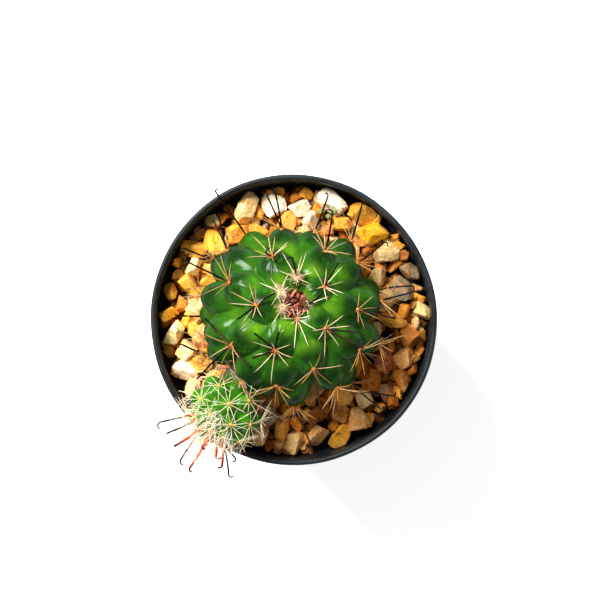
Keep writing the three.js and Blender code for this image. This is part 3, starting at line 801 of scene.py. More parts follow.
# Where knobs of the main head carry their felt, seen from above: millimetres along X and Y, and
# the share of the full height for those that stay lower.
KNOB_SPOTS = {
    0: (4.5, 4.4), 1: (1.3, 0.1), 2: (-3.2, 3.6), 3: (-3.5, 8.1), 4: (1.0, 12.1), 5: (8.7, 9.3),
    6: (8.8, -2.3), 7: (-4.8, -8.0), 8: (-9.9, 4.0), 9: (-5.8, 17.2), 10: (8.7, 18.6),
    11: (17.4, 2.8), 12: (5.5, -13.1), 13: (-16.7, -6.7), 14: (-17.3, 10.2), 15: (-3.2, 24.8),
    16: (17.4, 15.5), 17: (18.0, -8.2), 18: (-4.5, -17.9), 19: (-24.3, -4.8), 20: (-18.0, 19.0),
    21: (6.0, 24.6, 0.85), 22: (23.9, 5.3), 23: (11.8, -18.3), 26: (-12.8, 23.0), 27: (16.3, 22.0),
    28: (23.3, -6.6), 29: (0.2, -23.6), 32: (2.8, 26.6, 0.45), 36: (-25.2, 1.1),
}


JOIN_POWER = 9  # how sharply neighbouring knobs meet
SLOPE_POWER = 5  # how sharply a bright slope ends at the next knob
SETTLING_ROUNDS = 80
YOUNGEST_HEIGHT = 0.35  # of the height of a full-grown knob
# The bright slopes are partly painted light; they fade on the older, lower knobs.
FADING, FAINTEST = 0.1, 0.5  # how much fainter each older knob's bright slope is, and its least
SWELL, SWELL_LENGTH = 0.16 * MM, 7 * MM  # height and wavelength of the skin's slow swelling


class Head:
    """One round head with its knobs, worked out from its settings."""

    def __init__(self, sizes, turn, spots):
        self.sizes = sizes
        self.turn = turn
        self.centre = np.array(sizes.centre)
        self.axis = turn[:, 2]
        self.number = np.arange(sizes.knobs)
        growth = self.number / sizes.full_from
        self.width = sizes.young_width + (sizes.full_width - sizes.young_width) * np.minimum(1, growth)
        grown = np.minimum(1, growth + (sizes.crown_dip == 0))
        self.tall = YOUNGEST_HEIGHT + (1 - YOUNGEST_HEIGHT) * grown
        share = ((self.number + sizes.crown_offset) / sizes.crown_knobs) ** sizes.crown_power
        polar = np.arccos(1 - share)
        bearing = sizes.knob_start + self.number * sizes.knob_step
        rise = np.where(share < 1, sizes.shell_rise, sizes.shell_drop)
        tips = unit(np.stack([
            sizes.shell_radius * np.sin(polar) * np.cos(bearing),
            sizes.shell_radius * np.sin(polar) * np.sin(bearing),
            rise * np.cos(polar)], -1))
        for number, (x, y, *lowered) in spots.items():
            tips[number] = self.under(tips[number], np.array([x, y]) * MM)
            self.tall[number] = lowered[0] if lowered else self.tall[number]
        self.tips = tips
        self.inward = unit(UPRIGHT - tips * tips[:, 2:])
        self.aside = np.cross(tips, self.inward)

    def under(self, direction, spot):
        """The direction, near a given one, whose tip lies under a spot seen from above.

        The direction is moved again and again by what is left between its tip and the spot.
        """
        for _ in range(SETTLING_ROUNDS):
            tip = direction * self.reach(direction, "shell")
            left = spot - (self.centre + self.turn @ tip)[:2]
            direction = unit(tip + self.turn.T @ np.array([left[0], left[1], 0]))
        return direction

    def reach(self, directions, globe):
        """Distance to a flattened globe: 1 / hypot(flat / radius, tall / height)."""
        radius, rise, drop = (
            getattr(self.sizes, f"{globe}_{measure}") for measure in ("radius", "rise", "drop"))
        flat = np.hypot(directions[..., 0], directions[..., 1]) / radius
        tall = directions[..., 2] / np.where(directions[..., 2] > 0, rise, drop)
        return 1 / np.hypot(flat, tall)

    def relief(self, directions):
        """Height of the knobs from 0 in a valley to 1 on a knob's top, and how far up its slope.

        Around each felt cushion, i and s are the arcs towards the crown and aside in half-widths.
        A knob is 1 - i i / l l - s s, with a long l towards the crown and a short one on its
        front, and the knobs are joined by a power mean, which leaves a crease. The second value
        is i / l of the knob that a point belongs to, from 0 at the felt to 1, and fades on the old
        knobs. The third is the wrinkles, sin(13 b + k) + sin(29 b + 2 k) / 2 at a bearing b round
        the felt of knob k, which fade towards the felt.
        """
        angle = np.arccos(np.clip(directions @ self.tips.T, -1, 1))
        inward, aside = directions @ self.inward.T, directions @ self.aside.T
        scale = self.reach(directions, "shell")[..., None] * angle / self.width
        scale = scale / np.maximum(np.hypot(inward, aside), 1e-9)
        bearing = np.arctan2(aside, inward)
        wrinkle = np.sin(13 * bearing + self.number) + 0.5 * np.sin(29 * bearing + 2 * self.number)
        inward = inward * scale - self.sizes.lead
        inward = inward / np.where(inward > 0, self.sizes.slope, self.sizes.front)
        knob = self.tall * np.clip(1 - inward ** 2 - (aside * scale) ** 2, 0, 1)
        weight = knob ** JOIN_POWER
        total = weight.sum(-1)
        hold = knob ** SLOPE_POWER
        fading = np.clip(1 - FADING * (self.number - self.sizes.bright_knobs), FAINTEST, 1)
        slope = ((hold * np.clip(inward, 0, 1) * fading).sum(-1) + 5e-5) / (hold.sum(-1) + 1e-4)
        wrinkle = (weight * wrinkle * (1 - knob) * knob).sum(-1) / (total + 1e-2)
        return np.minimum(1, total ** (1 / JOIN_POWER)), slope, wrinkle

    def surface(self, directions):
        """Points of the skin in the part's frame, and the marks that colour them."""
        relief, slope, wrinkle = self.relief(directions)
        inner = self.reach(directions, "core")
        outer = self.reach(directions, "shell")
        reach = inner + (outer - inner) * relief + self.sizes.wrinkles * wrinkle
        from_axis = np.arccos(np.clip(directions[..., 2], -1, 1)) / self.sizes.crown_spread
        reach = reach - self.sizes.crown_dip * np.exp(-from_axis ** 2)
        reach = reach + SWELL * ripple(directions * outer[..., None], SWELL_LENGTH, 11)
        points = self.centre + (directions * reach[..., None]) @ self.turn.T
        return points, {"relief": relief, "slope": slope}

    def cushions(self):
        """Places of the felt cushions on the skin, with outward, downward and sideways directions."""
        place, _ = self.surface(self.tips)
        outward = self.tips @ self.turn.T
        down = unit(outward * (outward @ self.axis)[:, None] - self.axis)
        across = np.cross(outward, down)
        return place, outward, down, across


def by_knob(number, values):
    """A value that changes evenly between the knobs that a mapping names."""
    return np.interp(number, list(values), list(values.values()))


WOOLLY_HAIRS, OLD_HAIRS = 260, 24  # on each young and each old felt cushion


def pad_points(head, halves, rings, sides):
    """Points of flattened balls on the felt cushions.

    A point is place + x a down + y b across + z c outward, for a globe's direction (x, y, z) and
    the half-sizes (a, b, c) of the cushion.
    """
    place, outward, down, across = head.cushions()
    frames = np.stack([down, across, outward], 1)
    return place[:, None] + np.einsum("vk,nk,nkj->nvj", ball(rings, sides), halves, frames)


def main_head(scene):
    """The main head."""
    sizes = scene.cactus_head
    return Head(sizes, lean_turn(sizes.lean_x, sizes.lean_y), KNOB_SPOTS)


def offset_head(scene):
    """The offset."""
    sizes = scene.cactus_offset
    return Head(sizes, tilt_turn(sizes.lean, sizes.lean_towards), {})


DIVIDE = 23.2 * MM  # distance from the main head's centre to the plane where the heads press
DIVIDE_GAP = 0.15 * MM


def clear_of_divide(scene, points, side):
    """How far points lie on one side of the plane between the heads; side is 1 for the main head."""
    start, end = np.array(scene.cactus_head.centre), np.array(scene.cactus_offset.centre)
    normal = unit(end - start)
    return side * (DIVIDE - (points - start) @ normal), normal


def free_tips(scene, paths, side, lowest, overlap):
    """Which paths end above a height and reach past the dividing plane by less than an overlap."""
    tips = paths[:, -1]
    clear, _ = clear_of_divide(scene, tips, side)
    return (tips[:, 2] > lowest) & (clear > -overlap)


def press_flat(scene, points, side):
    """Points with those beyond the dividing plane moved back onto it."""
    clear, normal = clear_of_divide(scene, points, side)
    return points + side * np.minimum(clear - DIVIDE_GAP, 0)[..., None] * normal


def skin_part(scene, head, rings, sides, side):
    """A head's skin over a globe of directions, pressed flat where it meets the other head."""
    grid = sphere_rings(rings, sides)
    poles = np.stack([-UPRIGHT, UPRIGHT])
    points, marks = head.surface(grid)
    ends, end_marks = head.surface(poles)
    points = press_flat(scene, points, side)
    marks = {name: np.concatenate([end_marks[name][:1], marks[name].ravel(), end_marks[name][1:]])[None]
             for name in marks}
    return ringed_part(ends[:1], points[None], ends[1:], **marks)


# ---------------------------------------------------------------------- spines

def star_paths(head, random, low, high, rise, droop, extra=0):
    """Roots, directions, outward directions, owners and bearings of the spines round each felt.

    There are low to high of them, and some extra ones on the cushions that an array names. Each
    spine leaves its cushion along cos a down + sin a across + rise outward, with a spaced evenly
    round the ring and jittered. The droop tips the outward direction downwards.
    """
    place, outward, down, across = head.cushions()
    counts = random.integers(low, high + 1, len(place)) + extra
    owner = np.repeat(head.number, counts)
    order = np.concatenate([np.arange(each) for each in counts])
    stagger = 0.5 * (owner % 2) + random.uniform(-0.3, 0.3, len(owner))
    bearing = 2 * np.pi * (order + stagger) / counts[owner]
    lift = (rise[owner] * random.uniform(0.6, 1.5, len(owner)))[:, None]
    tipped = unit(outward + droop * down)
    along = unit(np.cos(bearing)[:, None] * down[owner] + np.sin(bearing)[:, None] * across[owner]
                 + lift * tipped[owner])
    return place[owner], along, tipped[owner], owner, bearing


def bent_paths(roots, along, lengths, bend, stations):
    """Gently bent paths: root + length (t along + t t bend)."""
    t = np.linspace(0, 1, stations)[:, None]
    return roots[:, None] + lengths[:, None, None] * (t * along[:, None] + t * t * bend[:, None])


def taper(root, tip, stations):
    """Radii that shrink from the root to the tip along t ^ 1.8."""
    t = np.linspace(0, 1, stations)
    return root + (tip - root) * t ** 1.8


def hooked_paths(roots, along, curl, lengths, hook_radius, hook_turn, bow):
    """Paths that run nearly straight and end in a round hook.

    The heading a turns from along towards curl: by the bow over the straight stretch, and then by
    the hook's turn over the hook. The path is the running sum of step (cos a along + sin a curl).
    """
    straight, hook = 8, 9
    bows = bow[:, None] * np.linspace(-0.5, 0.5, straight)
    hooks = bow[:, None] / 2 + hook_turn[:, None] * np.linspace(0.06, 1, hook)
    heading = np.concatenate([bows, hooks], 1)[..., None]
    steps = np.concatenate([np.repeat(lengths[:, None] / straight, straight, 1),
                            np.repeat((hook_radius * hook_turn)[:, None] / hook, hook, 1)], 1)[..., None]
    moves = steps * (np.cos(heading) * along[:, None] + np.sin(heading) * curl[:, None])
    return np.concatenate([roots[:, None], roots[:, None] + np.cumsum(moves, 1)], 1)


# Central spines of the main head: the knob, where the straight stretch ends in millimetres, the
# radius of the hook in millimetres, its side (1 left, -1 right, 0 none) and how brown it is.
CENTRALS = (
    (26, -21.3, 35.1, 79.3, 0.7, -1, 0.0), (20, -20.1, 28.2, 82.6, 0.5, 1, 0.0),
    (20, -22.3, 28.1, 78.5, 0.5, 0, 0.3), (31, -30.3, 19.8, 73.6, 0.7, 1, 0.0),
    (14, -28.2, 15.6, 88.2, 1.5, -1, 0.0), (36, -32.7, 1.4, 75.7, 0.5, 0, 0.2),
    (15, -5.2, 35.7, 84.1, 0.5, 0, 0.0), (15, -7.1, 33.7, 85.5, 0.6, -1, 0.0),
    (10, 10.6, 28.9, 89.9, 1.2, 1, 0.1), (27, 19.0, 32.5, 76.9, 0.6, -1, 0.1),
    (16, 24.7, 21.1, 84.4, 0.8, -1, 0.1), (22, 35.2, 8.2, 79.4, 0.7, 1, 0.0),
    (23, 27.3, -20.6, 80.9, 0.8, 1, 0.0), (12, 7.2, -23.9, 90.5, 0.5, 1, 0.6),
    (29, 4.8, -33.9, 79.4, 0.8, -1, 0.3), (6, 17.2, -3.1, 92.8, 2.6, -1, 0.0),
    (6, 19.1, -7.6, 92.4, 0.5, 0, 0.5), (8, -15.1, 0.1, 94.2, 0.5, 0, 0.0),
    (8, -4.5, 7.5, 94.2, 0.5, 0, 0.0), (9, -7.2, 17.9, 88.9, 1.2, -1, 0.0),
    (9, -4.8, 15.9, 89.0, 1.1, 1, 0.1), (4, -0.3, 16.8, 94.8, 0.9, 1, 0.0),
    (7, -3.7, -2.8, 94.8, 0.5, 0, 0.0), (7, -10.6, -3.1, 93.8, 0.5, 0, 0.3),
    (7, -11.2, -10.2, 92.4, 0.5, 0, 0.2), (13, -23.7, 0.9, 91.5, 0.5, 0, 0.7),
    (13, -10.9, -12.9, 91.5, 0.5, 0, 0.7), (5, 12.2, 15.5, 92.6, 0.5, 0, 0.2),
    (11, 27.8, 0.4, 87.5, 0.6, 0, 0.3), (0, 7.7, 7.0, 93.4, 0.4, 0, 0.0),
    (17, 22.8, -11.2, 86.1, 0.6, -1, 0.1), (28, 27.7, -3.5, 76.9, 0.6, 1, 0.2),
    (13, -26.2, -16.1, 85.5, 0.6, 0, 0.0), (18, -8.5, -23.0, 90.0, 0.6, 0, 0.4),
    (30, -30.5, -6.5, 79.0, 0.8, 1, 0.3), (33, 33.0, 9.5, 70.0, 0.8, -1, 0.3),
    (34, 24.0, -24.5, 73.5, 0.7, 1, 0.4), (21, 9.5, 34.0, 80.0, 0.7, 1, 0.1),
)

# Hooked spines of the offset: near where the root sits and where the straight stretch ends, in
# millimetres, the radius of the hook, its side, and whether it is dark instead of orange-red.
OFFSET_HOOKS = (
    (-22.6, -27.4, 86.0, -32.4, -34.2, 84.5, 0.5, 0, 0), (-21.8, -30.0, 86.0, -24.4, -34.0, 89.0, 0.6, 1, 0),
    (-22.4, -31.6, 85.0, -28.3, -40.4, 80.5, 0.7, 1, 0), (-20.5, -32.6, 83.0, -20.9, -37.0, 83.0, 0.8, 1, 0),
    (-19.0, -32.6, 83.0, -19.4, -39.9, 79.5, 0.7, -1, 0), (-18.8, -33.4, 81.0, -17.6, -42.6, 77.0, 0.7, 1, 1),
    (-26.6, -31.0, 83.0, -30.7, -38.1, 82.0, 1.0, 1, 1), (-26.6, -27.2, 84.0, -34.6, -30.7, 84.0, 0.5, 0, 1),
    (-26.8, -25.4, 83.5, -36.2, -27.6, 82.5, 1.1, 1, 1), (-18.4, -34.3, 80.0, -15.6, -37.7, 80.0, 0.7, -1, 1),
)


ROOT_DEPTH = 0.4 * MM  # how deep a long spine stands in its felt
UPWARD_CURL = 0.35  # how much a hook curls up as well as aside
HOOK_TURNS, PLAIN_TURN, BOWS = (125, 170), 12, (-9, 9)  # in degrees


def hook_parts(roots, ends, hook_radius, side, width, random, **marks):
    """Spines from their roots to the ends of their straight stretches, with a round hook beyond."""
    along = unit(ends - roots)
    length = np.linalg.norm(ends - roots, axis=-1)
    level = unit(np.cross(UPRIGHT, along))
    tip_up = np.cross(along, level)
    curl = unit(np.where(side == 0, 1, side)[:, None] * level + UPWARD_CURL * tip_up)
    hook_turn = np.radians(np.where(side == 0, PLAIN_TURN, random.uniform(*HOOK_TURNS, len(roots))))
    bow = np.radians(random.uniform(*BOWS, len(roots)))
    paths = hooked_paths(roots - ROOT_DEPTH * along, along, curl, length, hook_radius, hook_turn, bow)
    stations = paths.shape[1]
    radii = np.multiply.outer(width, 1 - 0.5 * np.linspace(0, 1, stations) ** 2.2)
    radii[..., 0] *= 0.5
    return tubes(paths, np.cross(along, curl), radii, 6, tone=random.uniform(0.55, 1, len(roots)), **marks)


# ------------------------------------------------------------------------ stones

# Stones that stand out: distance from the pot's axis and half-length in millimetres, bearing in
# degrees, the colour's name and how sharp its edges are.
LANDMARK_STONES = (
    (34.4, 71, 4.2, "white", 70), (33.1, 47.5, 3.9, "yellow", 40), (35.6, 57.5, 3.5, "ochre", 80),
    (31.4, 36, 4.0, "cream", 20), (31.4, 15.5, 3.9, "grey", 16), (34.2, 112, 4.0, "cream", 60),
    (36.2, 4, 3.3, "cream", 16), (34.6, 331, 3.2, "brown", 70), (33.6, 303, 3.6, "tan", 80),
    (33.6, 187, 3.5, "cream", 60),
)
STONE_SIZES = (3.3, 2.8, 2.3)
TRIES_PER_SIZE = 900
CLOSENESS = 0.8  # how near two stones may lie, as a share of their half-lengths together
CHIP_TRIES = 9000
CHIP_CLOSENESS = 0.62
INFILL_INSET = 1.2 * MM  # how far inside the wall the deeper stones end
STONE_RISE = 0.62  # how far a stone stands over its centre, as a share of its half-length
DEEP_SHADE = 0.45  # how much of their colour the deeper stones keep
BED_DEPTH = 3.4 * MM  # how far the dark bed lies under the gravel's level


def number_stream(seed):
    """A repeatable stream of numbers from 0 to 1."""
    state = seed
    while True:
        state = (state * 1664525 + 1013904223) % 2 ** 32
        yield state / 2 ** 32


def stone_places(scene):
    """Places of the stones as (x, y, half-length) rows, the landmark ones first.

    Ever smaller stones are tried at random and kept wherever they fit.
    """
    gravel, pot, head = scene.cactus_gravel, scene.cactus_pot, scene.cactus_head
    stream = number_stream(gravel.seed)
    limit = inner_radius(pot, gravel.ceiling, gravel.margin) / MM
    middle = np.array(head.centre[:2]) / MM
    places = [(reach * math.cos(math.radians(bearing)), reach * math.sin(math.radians(bearing)), radius)
              for reach, bearing, radius, _, _ in LANDMARK_STONES]
    for radius in STONE_SIZES:
        for _ in range(TRIES_PER_SIZE):
            x = (2 * next(stream) - 1) * limit
            y = (2 * next(stream) - 1) * limit
            in_pot = math.hypot(x, y) + 0.9 * radius < limit
            off_head = math.hypot(x - middle[0], y - middle[1]) > gravel.head_reach / MM
            apart = all(math.hypot(x - a, y - b) > CLOSENESS * (radius + c) for a, b, c in places)
            if in_pot and off_head and apart:
                places.append((x, y, radius))
    return np.array(places) * MM


def kept_in_pot(pot, points):
    """Points with those outside the pot's inner wall brought in to it."""
    away = np.hypot(points[..., 0], points[..., 1])
    share = np.minimum(1, inner_radius(pot, points[..., 2], 0.1 * MM) / np.maximum(away, 1e-9))
    return points * np.stack([share, share, np.ones_like(share)], -1)


def stone_part(pot, places, heights, sharpness, colours, random, rings, sides):
    """Angular stones over globes of directions, kept inside the pot's wall.

    A stone's reach along a direction is (sum over its faces of (d . n / h) ^ p) ^ (-1 / p), which
    rounds the block bounded by planes with normals n at distances h; a higher p is sharper.
    """
    stones = len(places)
    directions = ball(rings, sides)
    block = np.concatenate([np.eye(3), -np.eye(3)])
    faces = unit(block + random.normal(0, 0.3, (stones, 6, 3)))
    cuts = unit(random.normal(size=(stones, 4, 3)))
    normals = np.concatenate([faces, cuts], 1)
    distance = np.concatenate([random.uniform(0.66, 0.9, (stones, 6)),
                               random.uniform(0.8, 1.25, (stones, 4))], 1)
    facing = np.clip(np.einsum("vk,snk->svn", directions, normals), 0, None) / distance[:, None]
    power = sharpness[:, None]
    reach = (facing ** power[..., None]).sum(-1) ** (-1 / power)
    local = directions * np.minimum(reach, 1.35)[..., None]
    local *= np.stack([random.uniform(0.95, 1.2, stones), random.uniform(0.6, 0.92, stones),
                       random.uniform(0.6, 0.8, stones)], -1)[:, None]
    turns = np.stack([lean_turn(*tilts) for tilts in random.normal(0, 0.4, (stones, 2))])
    spin = random.uniform(0, 2 * np.pi, stones)
    spins = np.stack([[[math.cos(a), -math.sin(a), 0], [math.sin(a), math.cos(a), 0], [0, 0, 1]]
                      for a in spin])
    local = np.einsum("sij,svj->svi", spins @ turns, local) * places[:, None, 2:3]
    apart = 40 * places[:, None]
    swell = 0.03 * ripple(local + apart, 2.8 * MM, 5) + 0.02 * ripple(local + apart, 1.1 * MM, 6)
    local += (places[:, 2:3] * swell)[..., None] * directions
    centres = np.concatenate([places[:, :2], heights[:, None]], 1)
    points = kept_in_pot(pot, centres[:, None] + local)
    shift = random.uniform(-1, 1, (stones, 1, 3))
    return ball_part(points, rings, sides, stone_place=local + shift, stone_colour=colours)


# Colours of stones near a distance from the pot's axis in millimetres and a bearing in degrees.
STONE_SPOTS = (
    (34.5, 104, "white"), (33.0, 84, "russet"), (28.0, 84, "white"), (30.5, 90, "white"),
    (33.5, 122, "ochre"), (33.0, 131, "cream"), (34.5, 143, "ochre"), (31.0, 151, "cream"),
    (32.5, 160, "ochre"), (34.0, 170, "amber"), (32.0, 197, "cream"), (34.5, 203, "white"),
    (33.0, 178, "ochre"), (27.5, 55, "yellow"), (36.0, 27, "grey"), (33.0, 350, "brown"),
    (29.0, 342, "russet"), (34.0, 343, "tan"), (33.0, 325, "russet"), (35.0, 313, "cream"),
    (34.0, 292, "ochre"), (34.5, 281, "tan"), (31.5, 272, "amber"), (35.0, 264, "cream"),
    (28.5, 256, "grey"), (35.0, 318, "grey"), (33.0, 300, "brown"), (36.0, 253, "russet"),
    (34.3, 259, "cream"),
)
# The share of the stones that has each colour, and how much it grows towards the upper left: paler stones
# gather on the lit upper left and darker ones on the shaded right, partly the stones' own spread and partly
# painted light and shade.
STONE_SHARES = {
    "ochre": (0.34, 0.06), "amber": (0.2, -0.08), "tan": (0.1, 0), "cream": (0.11, 0.1),
    "white": (0.025, 0.03), "yellow": (0.02, 0.02), "brown": (0.16, -0.12), "russet": (0.06, -0.04),
    "grey": (0.02, -0.01),
}


def stone_colours(gravel, places, random, landmarks=(), spots=()):
    """A colour for each stone: mostly ochre, paler to the upper left and darker at the right, partly the
    stones' own spread and partly painted light and shade.
    """
    names = list(STONE_SHARES)
    palette = np.array([list(getattr(gravel, name)) for name in names])
    side = (places[:, 1] - 0.75 * places[:, 0]) / (45 * MM)
    share, growth = np.array(list(STONE_SHARES.values())).T
    shares = np.cumsum(np.clip(share + growth * side[:, None], 0.004, None), 1)
    draw = random.uniform(0, 1, len(places))[:, None] * shares[:, -1:]
    chosen = (draw > shares).sum(1)
    for reach, bearing, name in spots:
        spot = reach * MM * np.array([math.cos(math.radians(bearing)), math.sin(math.radians(bearing))])
        chosen[np.argmin(np.hypot(*(places[:, :2] - spot).T))] = names.index(name)
    for i, (_, _, _, name, _) in enumerate(landmarks):
        chosen[i] = names.index(name)
    colours = palette[chosen]
    other = palette[random.integers(0, 3, len(places))]
    tint = random.uniform(0, 0.25, (len(places), 1))
    tint[:len(landmarks)] = 0
    x, y = places[:, :1] / (33 * MM), places[:, 1:2] / (33 * MM)
    # Painted light and shade: the tone is raised towards the lit upper left and lowered on the right, where
    # the head's shadow falls.
    shade = x * (1 + y) + 1.5 * np.maximum(x, 0) * np.minimum(y, 0)
    tone = random.uniform(0.78, 1.15, (len(places), 1)) * (1 - 0.2 * shade)
    colours = (colours * (1 - tint) + other * tint) * tone
    colours[:, 3] = 1
    return np.clip(colours, 0, 1)


def chip_places(scene, places, limit, random):
    """Places of the small stones wedged between the others, each tried at random."""
    gravel, middle = scene.cactus_gravel, np.array(scene.cactus_head.centre[:2])
    chips = np.empty((0, 3))
    for spot in random.uniform(-1, 1, (CHIP_TRIES, 3)):
        chip = np.array([*(spot[:2] * limit), (1.9 + 0.6 * spot[2]) * MM])
        others = np.concatenate([places, chips])
        apart = np.hypot(*(others[:, :2] - chip[:2]).T) > CHIP_CLOSENESS * (others[:, 2] + chip[2])
        clear_of_head = math.hypot(*(chip[:2] - middle)) > gravel.head_reach
        if math.hypot(*chip[:2]) + 0.75 * chip[2] < limit and clear_of_head and apart.all():
            chips = np.concatenate([chips, [chip]])
        if len(chips) == gravel.chips:
            break
    return chips


def infill_places(scene, limit, random):
    """Places of the small stones that lie deeper, strewn at random."""
    gravel, middle = scene.cactus_gravel, np.array(scene.cactus_head.centre[:2])
    spots = random.uniform(-1, 1, (gravel.infill * 3, 2)) * (limit - INFILL_INSET)
    in_pot = np.hypot(*spots.T) < limit - INFILL_INSET
    off_head = np.hypot(*(spots - middle).T) > gravel.head_reach - MM
    spots = spots[in_pot & off_head][:gravel.infill]
    return np.concatenate([spots, random.uniform(1.5, 2.6, (len(spots), 1)) * MM], 1)


def bed_part(gravel, pot):
    """The dark bed under the stones: a profile turned about Z, its top raised by a ripple."""
    top, foot = gravel.bed_top - BED_DEPTH, MIX_BOX[1].z + gravel.margin
    edge, foot_edge = (inner_radius(pot, height, gravel.margin) for height in (top, foot))
    bed = turned([(0, foot), *run((8 * MM, foot), (foot_edge, foot), 6),
                  *run((foot_edge, foot), (edge, top), 6), *run((edge, top), (2 * MM, top), 30),
                  (0, top)], BED_SIDES)
    upper = bed["points"][:, 2] > top - 0.01 * MM
    bed["points"][upper, 2] += 0.5 * MM * ripple(bed["points"][upper], 3.5 * MM, 3)
    return bed


# -------------------------------------------------------- crown and seedlings

def scales_part(crown, random):
    """Curled papery scales, in the frame of the head that carries them.

    Scale k of n has its root at radius sqrt((k + 0.5) / n) and at a bearing of 137.5 k degrees,
    on a low dome. It leans inwards and to one side, and is a bent tube that is wide in the
    middle and flattened.
    """
    number = np.arange(crown.scales)
    away = crown.radius * np.sqrt((number + 0.5) / crown.scales)
    bearing = np.radians(137.5) * number
    spoke = np.stack([np.cos(bearing), np.sin(bearing), 0 * bearing], -1)
    roots = away[:, None] * spoke
    roots[:, 2] = crown.seat - 0.6 * MM + 1.0 * MM * (1 - (away / crown.radius) ** 2)
    swirl = np.cross(UPRIGHT, spoke) * random.uniform(-1.2, 1.2, len(number))[:, None]
    inwards = -0.5 * (away / crown.radius)[:, None] * spoke
    along = unit(np.array([0, 0, 0.45]) + inwards + swirl + random.normal(0, 0.4, spoke.shape))
    length = crown.scale_length * random.uniform(0.5, 1.0, len(number))
    bend = random.normal(0, 0.4, spoke.shape) * [1, 1, 0.5] - [0, 0, 0.35]
    paths = bent_paths(roots, along, length, bend, 8)
    part = tubes(paths, np.cross(along, spoke + 0.3 * random.normal(size=spoke.shape)),
                 crown.scale_width * np.sin(np.pi * np.linspace(0.15, 0.93, 8)) ** 0.6, 8,
                 tone=random.uniform(0.3, 1, len(number)), age=random.uniform(0, 1, len(number)))
    return flatten_tubes(part, paths, 0.2, 8)


def dome_part(crown):
    """The low dome under the papery scales: a profile turned about Z, roughened by a ripple."""
    dome = turned([(0, -1.5 * MM), (crown.radius, -1.5 * MM), (crown.radius * 0.98, -0.4 * MM),
                   (crown.radius * 0.7, 0.3 * MM), (crown.radius * 0.35, 0.6 * MM), (0, 0.7 * MM)],
                  DOME_SIDES)
    dome["points"][:, 2] += crown.seat - 0.3 * MM
    dome["points"] += 0.2 * MM * ripple(dome["points"], 1.6 * MM, 9)[:, None]
    return dome


def seedling_part(low, high):
    """A ribbed ball with a dimpled top, on a short stem, between two corners of a box.

    Its reach is radius (1 - 0.25 exp(-(p / 0.35) ^ 2) + 0.04 cos(9 b) sin(p)), at an angle p from
    the top and a bearing b.
    """
    globe = ball(*SEEDLING_GRID)
    dimple = 0.25 * np.exp(-(np.arccos(globe[:, 2]) / 0.35) ** 2)
    ribs = 0.04 * np.cos(9 * np.arctan2(globe[:, 1], globe[:, 0])) * np.hypot(globe[:, 0], globe[:, 1])
    radius = (high[0] - low[0]) / 2
    centre = np.array([(low[0] + high[0]) / 2, (low[1] + high[1]) / 2, high[2] - radius])
    points = (centre + globe * (radius * (1 - dimple + ribs))[:, None])[None]
    stem_path = np.linspace([centre[0], centre[1], low[2]], centre, 6)[None]
    stem = tubes(stem_path, np.array([[1.0, 0, 0]]), np.full(6, 0.5 * MM), 10)
    stem["marks"].pop("along")
    return joined(ball_part(points, *SEEDLING_GRID), stem)


# ---------------------------------------------------------------- build operators

class CACTUS_OT_pot(Operator):
    """Build the thin black nursery pot with its collar, rounded lip and drainage holes"""
    bl_idname = "cactus.pot"
    bl_label = "Pot"

    def execute(self, context):
        pot = context.scene.cactus_pot
        piece = make_piece("nursery_pot", pot_part(pot), plastic_material(pot), "pot", "pot")
        cut_drains(piece, pot)
        return {"FINISHED"}


class CACTUS_OT_mix(Operator):
    """Give the potting mix its crumbly finish"""
    bl_idname = "cactus.mix"
    bl_label = "Potting mix"

    def execute(self, context):
        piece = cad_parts["potting_mix"]
        piece.data.materials.clear()
        piece.data.materials.append(mix_material(context.scene.cactus_pot))
        return {"FINISHED"}


class CACTUS_OT_gravel(Operator):
    """Build the gravel: its dark bed, the stones on top and smaller ones between them"""
    bl_idname = "cactus.gravel"
    bl_label = "Gravel"

    def execute(self, context):
        scene = context.scene
        gravel, pot = scene.cactus_gravel, scene.cactus_pot
        random = np.random.default_rng(gravel.seed)
        stone = stone_material(gravel)
        places = stone_places(scene)
        rise = STONE_RISE * places[:, 2]
        heights = np.minimum(gravel.bed_top + 0.5 * rise + random.uniform(-0.5, 0.9, len(places)) * MM,
                             gravel.ceiling - rise)
        sharpness = random.uniform(30, 90, len(places))
        sharpness[:len(LANDMARK_STONES)] = [row[4] for row in LANDMARK_STONES]
        colours = stone_colours(gravel, places, random, LANDMARK_STONES, STONE_SPOTS)
        top = stone_part(pot, places, heights, sharpness, colours, random, *TOP_GRID)
        make_piece("top_stones", top, stone, "gravel", "gravel", smooth=False)

        limit = inner_radius(pot, gravel.bed_top, gravel.margin)
        chips = chip_places(scene, places, limit, random)
        chip_height = gravel.bed_top - random.uniform(-0.9, 0.9, len(chips)) * MM
        wedged = stone_part(pot, chips, chip_height, random.uniform(30, 90, len(chips)),
                            stone_colours(gravel, chips, random), random, *WEDGED_GRID)
        make_piece("wedged_stones", wedged, stone, "gravel", "gravel", smooth=False)

        small = infill_places(scene, limit, random)
        low = gravel.bed_top - random.uniform(1.4, 3.4, len(small)) * MM
        lower = stone_part(pot, small, low, random.uniform(8, 20, len(small)),
                           stone_colours(gravel, small, random), random, *LOWER_GRID)
        lower["marks"]["stone_colour"][:, :3] *= DEEP_SHADE
        make_piece("lower_stones", lower, stone, "gravel", "gravel", smooth=False)

        # The bed's near-black colour is partly dark crumbs and partly painted shade in the gaps.
        crumbs = crumbly_material(
            "dark_crumbs", gravel.bed, gravel.dust, scale=700.0, low=0.4, high=0.7, strength=0.8,
            depth=0.6 * MM, Roughness=0.95)
        make_piece("gravel_bed", bed_part(gravel, pot), crumbs, "gravel", "gravel")
        return {"FINISHED"}


